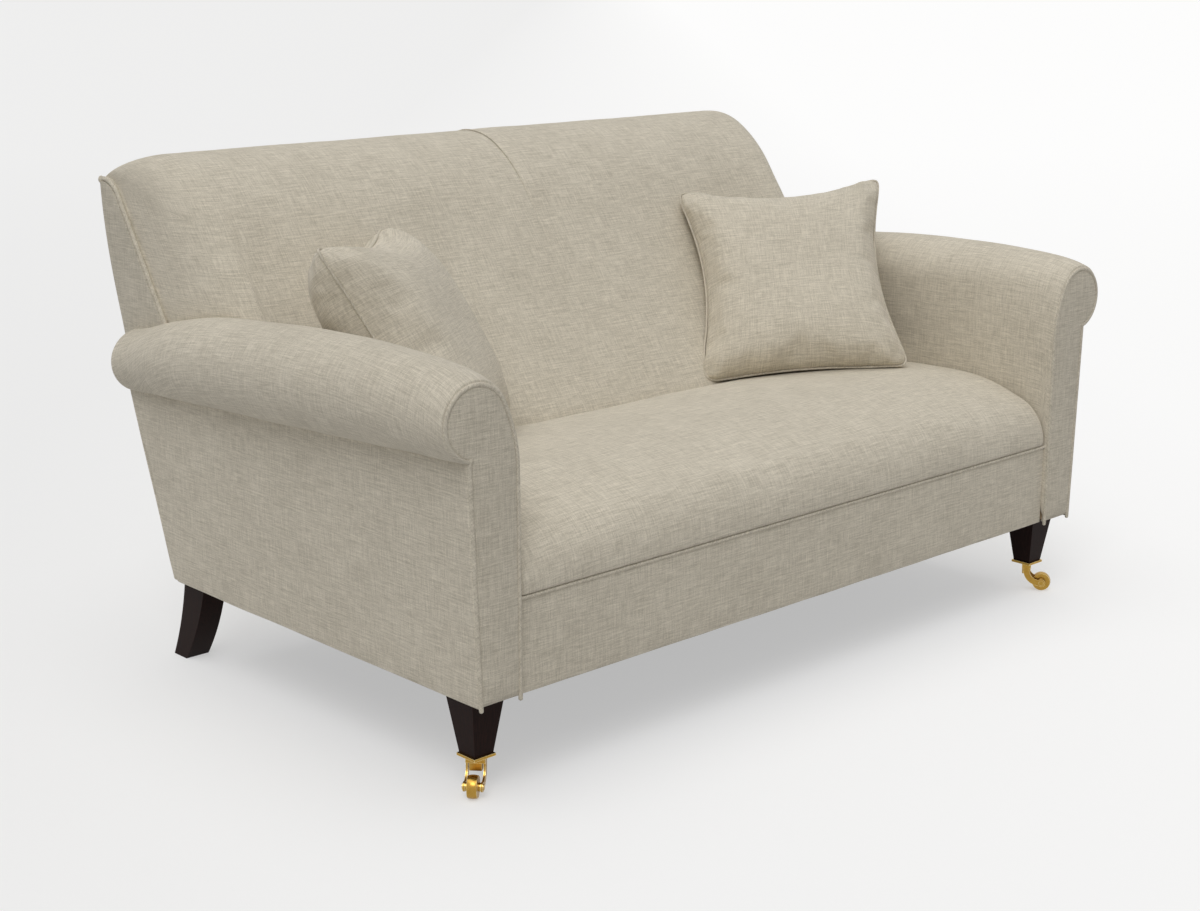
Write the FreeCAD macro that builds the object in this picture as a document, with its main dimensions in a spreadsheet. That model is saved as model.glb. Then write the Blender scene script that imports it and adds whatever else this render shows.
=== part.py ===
import FreeCAD, Part
import Sketcher
import math
import os
import re
from types import SimpleNamespace
from FreeCAD import Placement, Rotation, Vector

# Two seat English roll arm sofa, in millimetres.
# Frame: +X to the right of someone looking at the front, +Y towards the back, +Z up.
# The origin is on the floor, under the middle of the footprint.
# Lengths called "depth" below are measured back from the plane of the arm front piping.

doc = FreeCAD.newDocument("RollArmSofa")

# Driving sizes

SIZES = [
    ("sofa_depth", 1062.0, "arm front piping to outside back, over all"),
    ("seat_width", 1384.0, "clear width between the inside arms"),
    ("base_height", 164.0, "floor to the underside of the cover"),
    ("seam_height", 323.0, "floor to the seam between border and seat"),
    ("fit_gap", 0.3, "clearance between two upholstered pieces"),
    ("curve_gap", 0.4, "clearance between two curved upholstered pieces"),
    ("board", 28.0, "thickness of the hardwood rails"),
    ("rail_lift", 3.0, "rail underside above the cover underside"),
    ("platform_thickness", 6.0, "hessian and felt over the springs"),
    ("arm_width", 87.5, "inside arm to outside arm at the base"),
    ("arm_pad", 50.0, "padding on the inside arm"),
    ("side_lean", 2.1, "outside arm lean, degrees"),
    ("roll_offset", 83.0, "inside arm to the middle of the roll"),
    ("crease_offset", 19.0, "roll middle out to the crease under the roll"),
    ("crease_height", 553.0, "floor to the crease at the front"),
    ("arm_straight_drop", 23.0, "where the inside arm starts to curve, below the crease"),
    ("crease_fall", 2.5, "slope of the crease to the rear, degrees"),
    ("facing_roll_rise", 122.0, "top of the arm front scroll above the crease"),
    ("roll_front_rise", 125.0, "roll top behind the front piping, above the crease"),
    ("roll_swell_rise", 137.5, "roll top where it has swelled, above the crease"),
    ("roll_crown_rise", 147.5, "roll top at its highest, above the crease"),
    ("roll_middle_rise", 136.5, "roll top past the middle, above the crease"),
    ("roll_rear_rise", 101.0, "roll top near the rear, above the front crease"),
    ("roll_end_rise", 71.0, "roll top at its rear end, above the front crease"),
    ("roll_neck", 2.0, "least room between the inside arm and the roll"),
    ("roll_swell_depth", 60.0, "depth where the roll has swelled"),
    ("roll_crown_depth", 260.0, "depth of the highest point of the roll"),
    ("roll_middle_depth", 560.0, "depth past the middle of the roll"),
    ("roll_rear_setback", 233.0, "station near the rear of the roll, ahead of the sofa rear"),
    ("roll_end_setback", 107.0, "rear end of the roll, ahead of the sofa rear"),
    ("arm_board_setback", 10.0, "end of the board under the roll, ahead of the roll end"),
    ("arm_rear_corner", 20.0, "rounding of the outside arm at its lower rear corner"),
    ("facing_start", 1.0, "depth of the front face of the arm facing"),
    ("facing_thickness", 9.0, "covered facing on the arm front"),
    ("front_board", 14.0, "plywood board behind the arm facing"),
    ("facing_inset", 9.0, "facing edge inside the arm front outline"),
    ("piping_radius", 4.2, "radius of the self fabric piping"),
    ("border_piping_radius", 3.5, "radius of the piping on the border seam"),
    ("piping_tail", 3.0, "piping end below the underside of the cover"),
    ("cushion_piping_radius", 3.4, "radius of the scatter cushion piping"),
    ("border_setback", 8.0, "depth of the front border face"),
    ("spring_rail_setback", 88.0, "spring rail behind the foot of the inside back"),
    ("spring_rail_height", 100.0, "height of the spring rail"),
    ("stretcher_drop", 20.0, "top of the centre stretcher below the rails"),
    ("spring_wire", 1.9, "radius of the spring wire"),
    ("spring_half", 16.0, "half width of a zigzag spring"),
    ("spring_bend", 9.0, "bend radius of a zigzag spring"),
    ("spring_drop", 7.0, "spring wire below the top of the rails"),
    ("clip_width", 20.0, "spring clip along the rail"),
    ("clip_length", 8.0, "spring clip out from the rail"),
    ("clip_height", 10.0, "height of a spring clip"),
    ("seat_nose_setback", 11.0, "seat roll behind the border face"),
    ("seat_nose_height", 52.0, "seat roll above the seam at the front"),
    ("seat_shoulder_height", 93.0, "seat above the seam at its shoulder"),
    ("seat_top_height", 124.0, "seat above the seam at the arm"),
    ("seat_rear_height", 114.0, "seat above the seam at the back"),
    ("seat_shoulder_depth", 73.0, "depth of the seat shoulder"),
    ("seat_top_depth", 215.0, "depth of the top of the seat"),
    ("seat_crown", 18.0, "extra height of the seat at mid width"),
    ("seat_slope_drop", 9.0, "seat between shoulder and top, below its top"),
    ("seat_settle_drop", 3.0, "seat between top and back, below its top"),
    ("back_reach", 550.0, "foot of the inside back to the rear of the sofa"),
    ("inside_rake", 34.4, "lean of the inside back, degrees"),
    ("back_pad", 107.0, "padding of the inside back, measured level"),
    ("back_straight_drop", 66.0, "where the inside back starts to curve, below the rear seam"),
    ("back_shoulder_radius", 299.0, "first curve of the top of the back"),
    ("back_roll_radius", 163.5, "second curve of the top of the back"),
    ("back_shoulder_lean", 60.0, "lean where the two curves meet, degrees"),
    ("back_seam_height", 886.0, "floor to the top seam of the outside back"),
    ("outside_rake", 15.6, "lean of the outside back, degrees"),
    ("bow_drop", 166.0, "where the outside back starts to bow, below its seam"),
    ("outside_panel", 9.0, "thickness of the outside back panel"),
    ("end_rake", 32.6, "lean of the front edge of the back side panel, degrees"),
    ("end_roll_radius", 60.0, "curve at the top of the back side panel"),
    ("end_top_rise", 3.0, "top of the back side panel above the rear seam"),
    ("end_top_crown", 0.8, "crown of that top between the roll and the seam"),
    ("end_top_setback", 8.0, "flat top of the side panel ahead of the rear seam"),
    ("wing_foot_rise", 40.0, "foot of the rounded back end above the front crease"),
    ("wing_width", 78.0, "width of the rounded end of the back above the arm"),
    ("cheek_inset", 2.0, "back cheek inside the inside arm"),
    ("cheek_drop", 26.0, "top of the back frame below the rear seam"),
    ("top_rail_height", 80.0, "height of the rail at the top of the back"),
    ("top_rail_inset", 51.4, "top rail behind the front edge of the cheeks"),
    ("webbing_thickness", 2.0, "elastic webbing on the back frame"),
    ("webbing_width", 50.0, "width of a web"),
    ("web_foot", 67.0, "lowest web above the seat seam"),
    ("web_drop", 140.0, "highest web below the top of the back frame"),
    ("seam_pull", 4.0, "how far the centre seam draws the back in"),
    ("seam_pull_width", 25.0, "how far that shows to each side"),
    ("dust_cover_gap", 2.0, "dust cover to the front legs"),
    ("dust_cover_inset", 4.0, "dust cover ahead of the frame rear"),
    ("dust_cover_thickness", 1.7, "dust cover with its folded edge"),
    ("piping_sink", 6.0, "foot of the back piping below the roll top"),
    ("arm_board_height", 50.0, "height of the board under the roll"),
    ("rear_post_width", 60.0, "width of the rear arm post"),
    ("leg_spacing", 1471.2, "front legs, centre to centre"),
    ("leg_depth", 64.3, "depth of the front leg centre"),
    ("leg_top", 67.0, "front leg side at the top"),
    ("leg_foot", 38.0, "front leg side at the foot"),
    ("plate_side", 44.0, "castor plate side"),
    ("plate_thickness", 4.5, "castor plate thickness"),
    ("plate_height", 59.0, "floor to the underside of the castor plate"),
    ("swivel_gap", 0.3, "castor plate to horn"),
    ("wheel_radius", 19.0, "castor wheel radius"),
    ("wheel_width", 16.0, "castor wheel width"),
    ("tread_crown", 1.2, "crown of the tread"),
    ("trail", 31.0, "swivel axis to wheel axle"),
    ("axle_radius", 3.0, "wheel axle radius"),
    ("pintle_radius", 4.0, "swivel pin radius"),
    ("running_gap", 0.05, "radial clearance of a pin in its hole"),
    ("horn_gap", 4.5, "wheel side to horn arm"),
    ("horn_arm", 3.5, "thickness of a horn arm"),
    ("horn_width", 12.0, "width of a horn arm seen from the side"),
    ("left_trail_angle", -139.5, "direction of the left wheel from its swivel, degrees"),
    ("right_trail_angle", -55.0, "direction of the right wheel from its swivel, degrees"),
    ("horn_bridge", 9.7, "thickness of the bridge that joins the horn arms"),
    ("horn_bridge_length", 18.0, "bridge along the trail"),
    ("horn_neck", 3.0, "straight of a horn arm below the bridge"),
    ("pintle_head_radius", 7.0, "riveted head of the swivel pin"),
    ("pintle_head", 3.0, "height of the swivel pin head"),
    ("axle_boss_radius", 8.0, "round end of a horn arm about the axle"),
    ("axle_head_radius", 5.0, "riveted head of the axle"),
    ("axle_head", 1.5, "thickness of the axle head"),
    ("hub_radius", 7.0, "castor wheel hub radius"),
    ("side_gap", 0.3, "end float of the wheel between the horn arms"),
    ("bolt_radius", 4.0, "leg bolt radius"),
    ("bolt_in_leg", 50.0, "leg bolt inside the leg"),
    ("bolt_in_frame", 36.0, "leg bolt inside the frame"),
    ("bolt_end_gap", 2.0, "bolt hole past the end of the bolt"),
    ("screw_radius", 1.6, "castor screw radius"),
    ("screw_reach", 14.0, "castor screw off the middle of the plate"),
    ("screw_length", 18.0, "castor screw length"),
    ("block_leg", 100.0, "side of a corner block"),
    ("block_height", 40.0, "height of a corner block"),
    ("rear_leg_width", 48.0, "rear leg width"),
    ("rear_leg_inset", 728.5, "rear leg centre from the middle of the sofa"),
    ("rear_leg_top", 66.0, "rear leg front to back at the top"),
    ("rear_leg_foot", 42.0, "rear leg front to back at the floor"),
    ("rear_leg_kick", 54.0, "how far the foot stands behind the top"),
    ("rear_leg_overhang", 6.0, "rear leg behind the foot of the outside back"),
    ("cushion_size", 418.0, "scatter cushion over its seam"),
    ("cushion_front", 74.0, "cushion crown in front of its seam"),
    ("cushion_rear", 58.0, "cushion crown behind its seam"),
    ("cushion_ear", 22.0, "rounding of a cushion corner"),
    ("cushion_turn", 38.3, "cushion turned towards the middle, degrees"),
    ("cushion_lean", 36.9, "cushion leaning back, degrees"),
    ("cushion_tip", 3.2, "cushion rolled in its own plane, degrees"),
    ("cushion_from_arm", 213.0, "cushion centre to the inside arm"),
    ("cushion_from_back", 149.0, "cushion centre ahead of the inside back"),
    ("cushion_lift", 177.5, "cushion centre above the seat at the arm"),
]

# Values worked out in the sheet from the driving ones
DERIVED = [
    ("arm_straight_height", "crease_height - arm_straight_drop"),
    ("facing_roll_height", "crease_height + facing_roll_rise"),
    ("roll_crown_height", "crease_height + roll_crown_rise"),
    ("roll_rear_depth", "sofa_depth - roll_rear_setback"),
    ("roll_end_depth", "sofa_depth - roll_end_setback"),
    ("seat_depth", "sofa_depth - back_reach"),
    ("spring_rail_depth", "seat_depth + spring_rail_setback"),
    ("back_straight_height", "back_seam_height - back_straight_drop"),
    ("bow_height", "back_seam_height - bow_drop"),
    ("end_top_height", "back_seam_height + end_top_rise"),
    ("cheek_height", "back_seam_height - cheek_drop"),
    ("wing_foot_height", "crease_height + wing_foot_rise"),
    ("top_rail_depth", "seat_depth + back_pad + top_rail_inset"
                       " + (cheek_height - seam_height - seat_rear_height) * tan(inside_rake * 1 deg)"),
    ("arm_face", "seat_width / 2"),
    ("post_face", "arm_face + arm_pad"),
    ("side_face", "post_face + board"),
    ("outer_face", "arm_face + arm_width"),
    ("rail_bottom", "base_height + rail_lift"),
    ("rail_top", "seam_height - platform_thickness"),
    ("frame_front", "facing_start + facing_thickness + front_board"),
    ("bow_radius", "bow_drop / sin(outside_rake * 1 deg)"),
    ("back_top", "sofa_depth - piping_radius"),
    ("back_foot", "back_top - bow_radius * (1 - cos(outside_rake * 1 deg))"
                  " - (bow_height - base_height) * tan(outside_rake * 1 deg)"),
    ("frame_rear", "back_foot - outside_panel - fit_gap"),
    ("front_shift", "piping_radius - sofa_depth / 2"),
    ("leg_half_spacing", "leg_spacing / 2"),
    ("foot_height", "plate_height + plate_thickness"),
]

sheet = doc.addObject("Spreadsheet::Sheet", "sizes")
sheet.Label = "sizes"
row = 1
for alias, value, note in SIZES:
    sheet.set("A%d" % row, note)
    sheet.set("B%d" % row, str(value))
    sheet.setAlias("B%d" % row, alias)
    row += 1
doc.recompute()
for alias, formula in DERIVED:
    sheet.set("B%d" % row, "=" + formula)
    sheet.setAlias("B%d" % row, alias)
    doc.recompute()
    row += 1

ALIASES = [entry[0] for entry in SIZES + DERIVED]
size = SimpleNamespace(**{alias: float(sheet.get(alias)) for alias in ALIASES})


def bound(text):
    """Expression text with every size name pointed at the sheet."""
    return re.sub(r"[a-z_]+", lambda word: "sizes." + word[0] if word[0] in ALIASES else word[0], text)


def tangent(angle):
    return math.tan(math.radians(angle))


def depth_at(depth):
    """Y of a depth measured back from the arm front."""
    return depth + size.front_shift


nodes = []


def keep(obj, name):
    """Give an object its node name and list it for export."""
    obj.Label = name
    nodes.append(obj)
    return obj


# Helpers for blocks, bodies and plain features


def block(name, across, back, up, kept=True):
    """A box between two expressions on each axis; back is a depth."""
    box = doc.addObject("Part::Box", name)
    for prop, (low, high) in (("Length", across), ("Width", back), ("Height", up)):
        box.setExpression(prop, bound("(%s) - (%s)" % (high, low)))
    box.setExpression(".Placement.Base.x", bound(across[0]))
    box.setExpression(".Placement.Base.y", bound("front_shift + (%s)" % back[0]))
    box.setExpression(".Placement.Base.z", bound(up[0]))
    return keep(box, name) if kept else box


def mirrored(low, high, sign):
    """The same span on the right side, or its mirror on the left."""
    return (low, high) if sign > 0 else ("-(%s)" % high, "-(%s)" % low)


def rod(name, radius, low, high, x, depth, kept=False):
    """An upright cylinder bound to the sheet."""
    cylinder = doc.addObject("Part::Cylinder", name)
    cylinder.setExpression("Radius", bound(radius))
    cylinder.setExpression("Height", bound("(%s) - (%s)" % (high, low)))
    cylinder.setExpression(".Placement.Base.x", bound(x))
    cylinder.setExpression(".Placement.Base.y", bound("front_shift + (%s)" % depth))
    cylinder.setExpression(".Placement.Base.z", bound(low))
    return keep(cylinder, name) if kept else cylinder


def cut(name, base, tools):
    """Base less each tool, as boolean features."""
    for number, tool in enumerate(tools):
        result = doc.addObject("Part::Cut", "%s_cut_%d" % (name, number))
        result.Base = base
        result.Tool = tool
        base = result
    return keep(base, name)


def group(name, members):
    """Like pieces in one node, as separate solids."""
    compound = doc.addObject("Part::Compound", name)
    compound.Links = members
    return keep(compound, name)


def feature(name, shape, placement=None, kept=True):
    """A shape worked out from the sheet in code."""
    result = doc.addObject("Part::Feature", name)
    result.Shape = shape
    result.Placement = placement or Placement()
    return keep(result, name) if kept else result


def origin_plane(body, role):
    return [item for item in body.Origin.OriginFeatures if item.Role == role][0]


def sketch_on(body, name, role):
    """A sketch laid on one of the body's own origin planes."""
    sketch = body.newObject("Sketcher::SketchObject", name)
    sketch.AttachmentSupport = [(origin_plane(body, role), "")]
    sketch.MapMode = "FlatFace"
    return sketch


def square_sketch(body, name, side, height):
    """A square about the body's Z axis, at a height, both bound to the sheet."""
    sketch = sketch_on(body, name, "XY_Plane")
    sketch.setExpression(".AttachmentOffset.Base.z", bound(height))
    half = 10.0
    corners = [(-half, -half), (half, -half), (half, half), (-half, half)]
    for index, (x, y) in enumerate(corners):
        end = corners[(index + 1) % 4]
        sketch.addGeometry(Part.LineSegment(Vector(x, y, 0), Vector(end[0], end[1], 0)), False)
    for index in range(4):
        sketch.addConstraint(Sketcher.Constraint("Coincident", index, 2, (index + 1) % 4, 1))
    for index in (0, 2):
        sketch.addConstraint(Sketcher.Constraint("Horizontal", index))
    for index in (1, 3):
        sketch.addConstraint(Sketcher.Constraint("Vertical", index))
    sketch.addConstraint(Sketcher.Constraint("Equal", 0, 1))
    sketch.addConstraint(Sketcher.Constraint("Symmetric", 0, 1, 1, 2, -1, 1))
    side_index = sketch.addConstraint(Sketcher.Constraint("DistanceX", 0, 1, 0, 2, 2 * half))
    sketch.setExpression("Constraints[%d]" % side_index, bound(side))
    return sketch


def circle_sketch(body, name, circles, height):
    """Circles at expressions (x, y, radius) in a plane at a height."""
    sketch = sketch_on(body, name, "XY_Plane")
    sketch.setExpression(".AttachmentOffset.Base.z", bound(height))
    for index, (x, y, radius) in enumerate(circles):
        sketch.addGeometry(Part.Circle(Vector(5 * index + 1, 3, 0), Vector(0, 0, 1), 1.0), False)
        for kind, formula in (("DistanceX", x), ("DistanceY", y)):
            number = sketch.addConstraint(Sketcher.Constraint(kind, -1, 1, index, 3, 1.0))
            sketch.setExpression("Constraints[%d]" % number, bound(formula))
        number = sketch.addConstraint(Sketcher.Constraint("Radius", index, 1.0))
        sketch.setExpression("Constraints[%d]" % number, bound(radius))
    return sketch


def pocket(body, name, sketch, length, upwards):
    """Cut a sketch into the body for a bound length."""
    feature_pocket = body.newObject("PartDesign::Pocket", name)
    feature_pocket.Profile = sketch
    feature_pocket.Type = 0
    feature_pocket.Reversed = upwards
    feature_pocket.setExpression("Length", bound(length))
    body.Tip = feature_pocket
    return feature_pocket


# Outlines in the upright plane through the arm, (x, z) for the right arm

def outer_x(height):
    """The leaning outside arm."""
    return size.outer_face + (height - size.base_height) * tangent(size.side_lean)


def crease_z(depth):
    return size.crease_height - depth * tangent(size.crease_fall)


def roll_circle(top, crease):
    """Centre and radius of the roll through its top and its crease."""
    rise = top - crease
    radius = (rise ** 2 + size.crease_offset ** 2) / (2 * rise)
    offset = max(size.roll_offset, radius + size.roll_neck)
    return size.arm_face + offset, top - radius, radius


def at(x, depth, z):
    return Vector(x, depth_at(depth), z)


def inner_curve(circle, inset):
    """Centre, radius and meeting point of the curve from the inside arm to the roll."""
    middle_x, middle_z, radius = circle
    offset = middle_x - size.arm_face
    rise = middle_z - size.arm_straight_height
    big = (offset ** 2 + rise ** 2 - radius ** 2) / (2 * (offset - radius))
    centre_x = size.arm_face + big
    toward = Vector(middle_x - centre_x, rise, 0).normalize()
    return centre_x, big - inset, toward


def arm_curves(circle, depth, inset):
    """Edges from the foot of the inner curve over the roll to its top."""
    middle_x, middle_z, radius = circle
    centre_x, big, toward = inner_curve(circle, inset)
    foot_z = size.arm_straight_height
    meet = math.atan2(toward.y, toward.x)
    half = (meet + math.pi) / 2

    def on(cx, cz, r, angle):
        return at(cx + r * math.cos(angle), depth, cz + r * math.sin(angle))

    start = at(size.arm_face + inset, depth, foot_z)
    joint = on(middle_x, middle_z, radius - inset, meet)
    top = on(middle_x, middle_z, radius - inset, math.pi / 2)
    first = Part.Arc(start, on(centre_x, foot_z, big, half), joint).toShape()
    over = Part.Arc(joint, on(middle_x, middle_z, radius - inset, (meet + math.pi / 2) / 2), top).toShape()
    return start, first, over, top


def roll_side(circle, depth, inset, end):
    """Edge from the top of the roll round its outer side to an end point."""
    middle_x, middle_z, radius = circle
    low = math.atan2(end.z - middle_z, end.x - middle_x)
    half = (math.pi / 2 + low) / 2
    reach = radius - inset
    top = at(middle_x, depth, middle_z + reach)
    side = at(middle_x + reach * math.cos(half), depth, middle_z + reach * math.sin(half))
    return Part.Arc(top, side, end).toShape()


def facing_circle():
    return roll_circle(size.facing_roll_height, size.crease_height)


def notch(inset):
    """Where the leaning outer edge meets the underside of the scroll."""
    middle_x, middle_z, radius = facing_circle()
    slope = tangent(size.side_lean)
    base = outer_x(0) - inset / math.cos(math.radians(size.side_lean)) - middle_x
    a = slope ** 2 + 1
    b = 2 * (slope * base - middle_z)
    c = base ** 2 + middle_z ** 2 - (radius - inset) ** 2
    z = (-b - math.sqrt(b ** 2 - 4 * a * c)) / (2 * a)
    return middle_x + base + slope * z, z


def scroll_outline(inset, depth, bottom):
    """Closed outline of the arm front, drawn in by an inset."""
    circle = facing_circle()
    start, first, over, top = arm_curves(circle, depth, inset)
    notch_x, notch_z = notch(inset)
    end = at(notch_x, depth, notch_z)
    foot_in = at(size.arm_face + inset, depth, bottom)
    foot_out = at(outer_x(bottom) - inset, depth, bottom)
    edges = [Part.LineSegment(foot_in, start).toShape(), first, over, roll_side(circle, depth, inset, end),
             Part.LineSegment(end, foot_out).toShape(), Part.LineSegment(foot_out, foot_in).toShape()]
    return Part.Wire(edges)


def arm_section(depth, top, grow):
    """Closed section of the arm padding; grow fattens it for a clearance cut."""
    crease = crease_z(depth) - grow
    circle = roll_circle(top + grow, crease)
    start, first, over, peak = arm_curves(circle, depth, 0.0)
    end = at(circle[0] + size.crease_offset, depth, crease)
    inner = size.post_face - size.fit_gap
    bottom = size.rail_top + size.fit_gap
    corners = [end, at(inner, depth, crease), at(inner, depth, bottom), at(size.arm_face, depth, bottom)]
    corners.append(start)
    edges = [first, over, roll_side(circle, depth, 0.0, end)]
    edges += [Part.LineSegment(a, b).toShape() for a, b in zip(corners, corners[1:])]
    return Part.Wire(edges)


def arm_solid(start_depth, grow=0.0):
    stations = [
        (start_depth, size.roll_front_rise),
        (size.roll_swell_depth, size.roll_swell_rise),
        (size.roll_crown_depth, size.roll_crown_rise),
        (size.roll_middle_depth, size.roll_middle_rise),
        (size.roll_rear_depth, size.roll_rear_rise),
        (size.roll_end_depth + grow, size.roll_end_rise),
    ]
    sections = [arm_section(depth, size.crease_height + rise, grow) for depth, rise in stations]
    return Part.makeLoft(sections, True)


def prism(wire, direction):
    return Part.Face(wire).extrude(direction)


def mirror_left(shape):
    return shape.mirror(Vector(0, 0, 0), Vector(1, 0, 0))


def pair(name, right_shape):
    """A right piece and its mirror image on the left."""
    feature(name + "_right", right_shape)
    feature(name + "_left", mirror_left(right_shape))


def polygon(points):
    return Part.Wire([Part.LineSegment(a, b).toShape() for a, b in zip(points, points[1:] + points[:1])])


# Outlines in the upright plane through the back, (depth, z)

def outside_depth(height, inset=0.0):
    """Outside back, drawn forward by an inset, at a height."""
    if height <= size.bow_height:
        return size.back_foot + (height - size.base_height) * tangent(size.outside_rake) - inset
    centre = size.back_top - size.bow_radius
    top = min(height, size.back_seam_height) - size.back_seam_height
    return centre + math.sqrt(size.bow_radius ** 2 - top ** 2) - inset


def inside_depth(height, offset=0.0):
    """Straight part of the inside back at a height, moved back by an offset."""
    seat_back = size.seam_height + size.seat_rear_height
    return size.seat_depth + (height - seat_back) * tangent(size.inside_rake) + offset


def bow_edges(x, low, high, inset):
    """Edges down the outside back from a high to a low height."""
    def on(height):
        return at(x, outside_depth(height, inset), height)
    bend = size.bow_height
    arc = Part.Arc(on(high), on((high + bend) / 2), on(bend)).toShape()
    return [arc, Part.LineSegment(on(bend), on(low)).toShape()]


def back_profile():
    """Points of the full inside back: straight, shoulder, roll, rear, with arc middles."""
    lean = math.radians(size.inside_rake)
    turn = math.radians(size.back_shoulder_lean)
    start = (inside_depth(size.back_straight_height), size.back_straight_height)

    def along(origin, radius, begin, finish):
        return (origin[0] + radius * (math.cos(begin) - math.cos(finish)),
                origin[1] + radius * (math.sin(finish) - math.sin(begin)))

    shoulder_mid = along(start, size.back_shoulder_radius, lean, (lean + turn) / 2)
    shoulder = along(start, size.back_shoulder_radius, lean, turn)
    roll_mid = along(shoulder, size.back_roll_radius, turn, (turn + math.pi / 2) / 2)
    top = along(shoulder, size.back_roll_radius, turn, math.pi / 2)
    rear = (size.back_top, size.back_seam_height + size.fit_gap)
    drop = top[1] - rear[1]
    run = rear[0] - top[0]
    radius = (drop ** 2 + run ** 2) / (2 * drop)
    half = math.asin(run / radius) / 2
    rear_mid = (top[0] + radius * math.sin(half), top[1] - radius * (1 - math.cos(half)))
    return [start, shoulder_mid, shoulder, roll_mid, top, rear_mid, rear]


def end_profile(inset=0.0):
    """The same points on the side of the back, drawn in by an inset."""
    lean = math.radians(size.end_rake)
    centre = (size.back_top - size.end_top_setback, size.end_top_height - size.end_roll_radius)
    radius = size.end_roll_radius - inset

    def on(angle):
        return (centre[0] - radius * math.cos(angle), centre[1] + radius * math.sin(angle))

    middle = (lean + math.pi / 2) / 2
    top = on(math.pi / 2)
    rear = (size.back_top, size.back_seam_height + size.fit_gap)
    rear_mid = ((top[0] + rear[0]) / 2, (top[1] + rear[1]) / 2 + size.end_top_crown)
    round_points = [on(lean), on((lean + middle) / 2), on(middle), on((middle + math.pi / 2) / 2)]
    return round_points + [top, rear_mid, rear]


def between(full, end, share):
    return [(e[0] + share * (f[0] - e[0]), e[1] + share * (f[1] - e[1])) for f, e in zip(full, end)]


def profile_edges(x, points, foot):
    """Line from a foot point and three arcs through the profile points."""
    place = [at(x, depth, z) for depth, z in points]
    edges = [Part.LineSegment(at(x, foot[0], foot[1]), place[0]).toShape()]
    for index in (0, 2, 4):
        edges.append(Part.Arc(place[index], place[index + 1], place[index + 2]).toShape())
    return edges


def back_section(x, draw):
    """Closed section of the inside back pad, drawn in at the seam by a small depth."""
    points = [(depth + draw, z - draw) for depth, z in back_profile()[:-1]] + [back_profile()[-1]]
    bottom = size.seam_height + size.fit_gap
    edges = profile_edges(x, points, (inside_depth(bottom) + draw, bottom))
    lining = size.outside_panel + size.fit_gap
    ledge = size.cheek_height + size.fit_gap
    corners = [
        at(x, size.back_top, size.back_seam_height + size.fit_gap),
        at(x, size.back_top - lining, size.back_seam_height + size.fit_gap),
        at(x, outside_depth(ledge, lining), ledge),
        at(x, inside_depth(ledge, size.back_pad), ledge),
        at(x, inside_depth(bottom, size.back_pad), bottom),
        at(x, inside_depth(bottom) + draw, bottom),
    ]
    edges += [Part.LineSegment(a, b).toShape() for a, b in zip(corners, corners[1:])]
    return Part.Wire(edges)


def wing_section(x, share, bottom):
    """Closed section of the rounded end of the back above the arm."""
    full = back_profile()
    end = end_profile()
    points = between(full, end, share)
    end_foot = end[0][0] - (end[0][1] - bottom) * tangent(size.end_rake)
    foot = end_foot + share * (inside_depth(bottom) - end_foot)
    edges = profile_edges(x, points, (foot, bottom))
    lining = size.outside_panel + size.fit_gap
    seam = size.back_seam_height
    rear = at(x, size.back_top, seam + size.fit_gap)
    edges.append(Part.LineSegment(rear, at(x, outside_depth(seam, lining), seam)).toShape())
    edges += bow_edges(x, bottom, seam, lining)
    rear_foot = at(x, outside_depth(bottom, lining), bottom)
    edges.append(Part.LineSegment(rear_foot, at(x, foot, bottom)).toShape())
    return Part.Wire(edges)


# Hardwood frame

def build_frame():
    rails = ("rail_bottom", "rail_top")
    block("front_seat_rail", ("-post_face", "post_face"), ("frame_front", "frame_front + board"), rails)
    across = ("-post_face", "post_face")
    solid = block("rear_rail_blank", across, ("frame_rear - board", "frame_rear"), rails, False)
    holes = [rod("rear_rail_hole_" + side, "bolt_radius + running_gap", "rail_bottom - bolt_end_gap",
                 "rail_bottom + bolt_in_frame + bolt_end_gap", "%d * rear_leg_inset" % sign,
                 "frame_rear - board / 2")
             for side, sign in (("right", 1), ("left", -1))]
    cut("rear_seat_rail", solid, holes)
    block("spring_rail", ("-post_face", "post_face"), ("spring_rail_depth", "spring_rail_depth + board"),
          ("rail_top - spring_rail_height", "rail_top"))
    block("centre_stretcher", ("-board / 2", "board / 2"), ("frame_front + board", "spring_rail_depth"),
          ("rail_top - spring_rail_height", "rail_top - stretcher_drop"))
    for side, sign in (("right", 1), ("left", -1)):
        block("side_seat_rail_" + side, mirrored("post_face", "side_face", sign),
              ("frame_front", "frame_rear"), rails)
    build_corner_blocks()


def build_corner_blocks():
    """Glued triangular blocks in the four corners; the front ones take the leg bolts."""
    bottom = size.rail_bottom
    front = size.frame_front + size.board
    rear = size.frame_rear - size.board
    wedges = []
    for end, depth, toward in (("front", front, 1), ("rear", rear, -1)):
        corner = at(size.post_face, depth, bottom)
        triangle = polygon([corner, corner - Vector(size.block_leg, 0, 0),
                            corner + Vector(0, toward * size.block_leg, 0)])
        wedge = prism(triangle, Vector(0, 0, size.block_height))
        if end == "front":
            hole = Part.makeCylinder(size.bolt_radius + size.running_gap, size.block_height,
                                     at(size.leg_half_spacing, size.leg_depth, bottom))
            wedge = wedge.cut(hole)
        wedges += [wedge, mirror_left(wedge)]
    feature("corner_blocks", Part.makeCompound(wedges))


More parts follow.
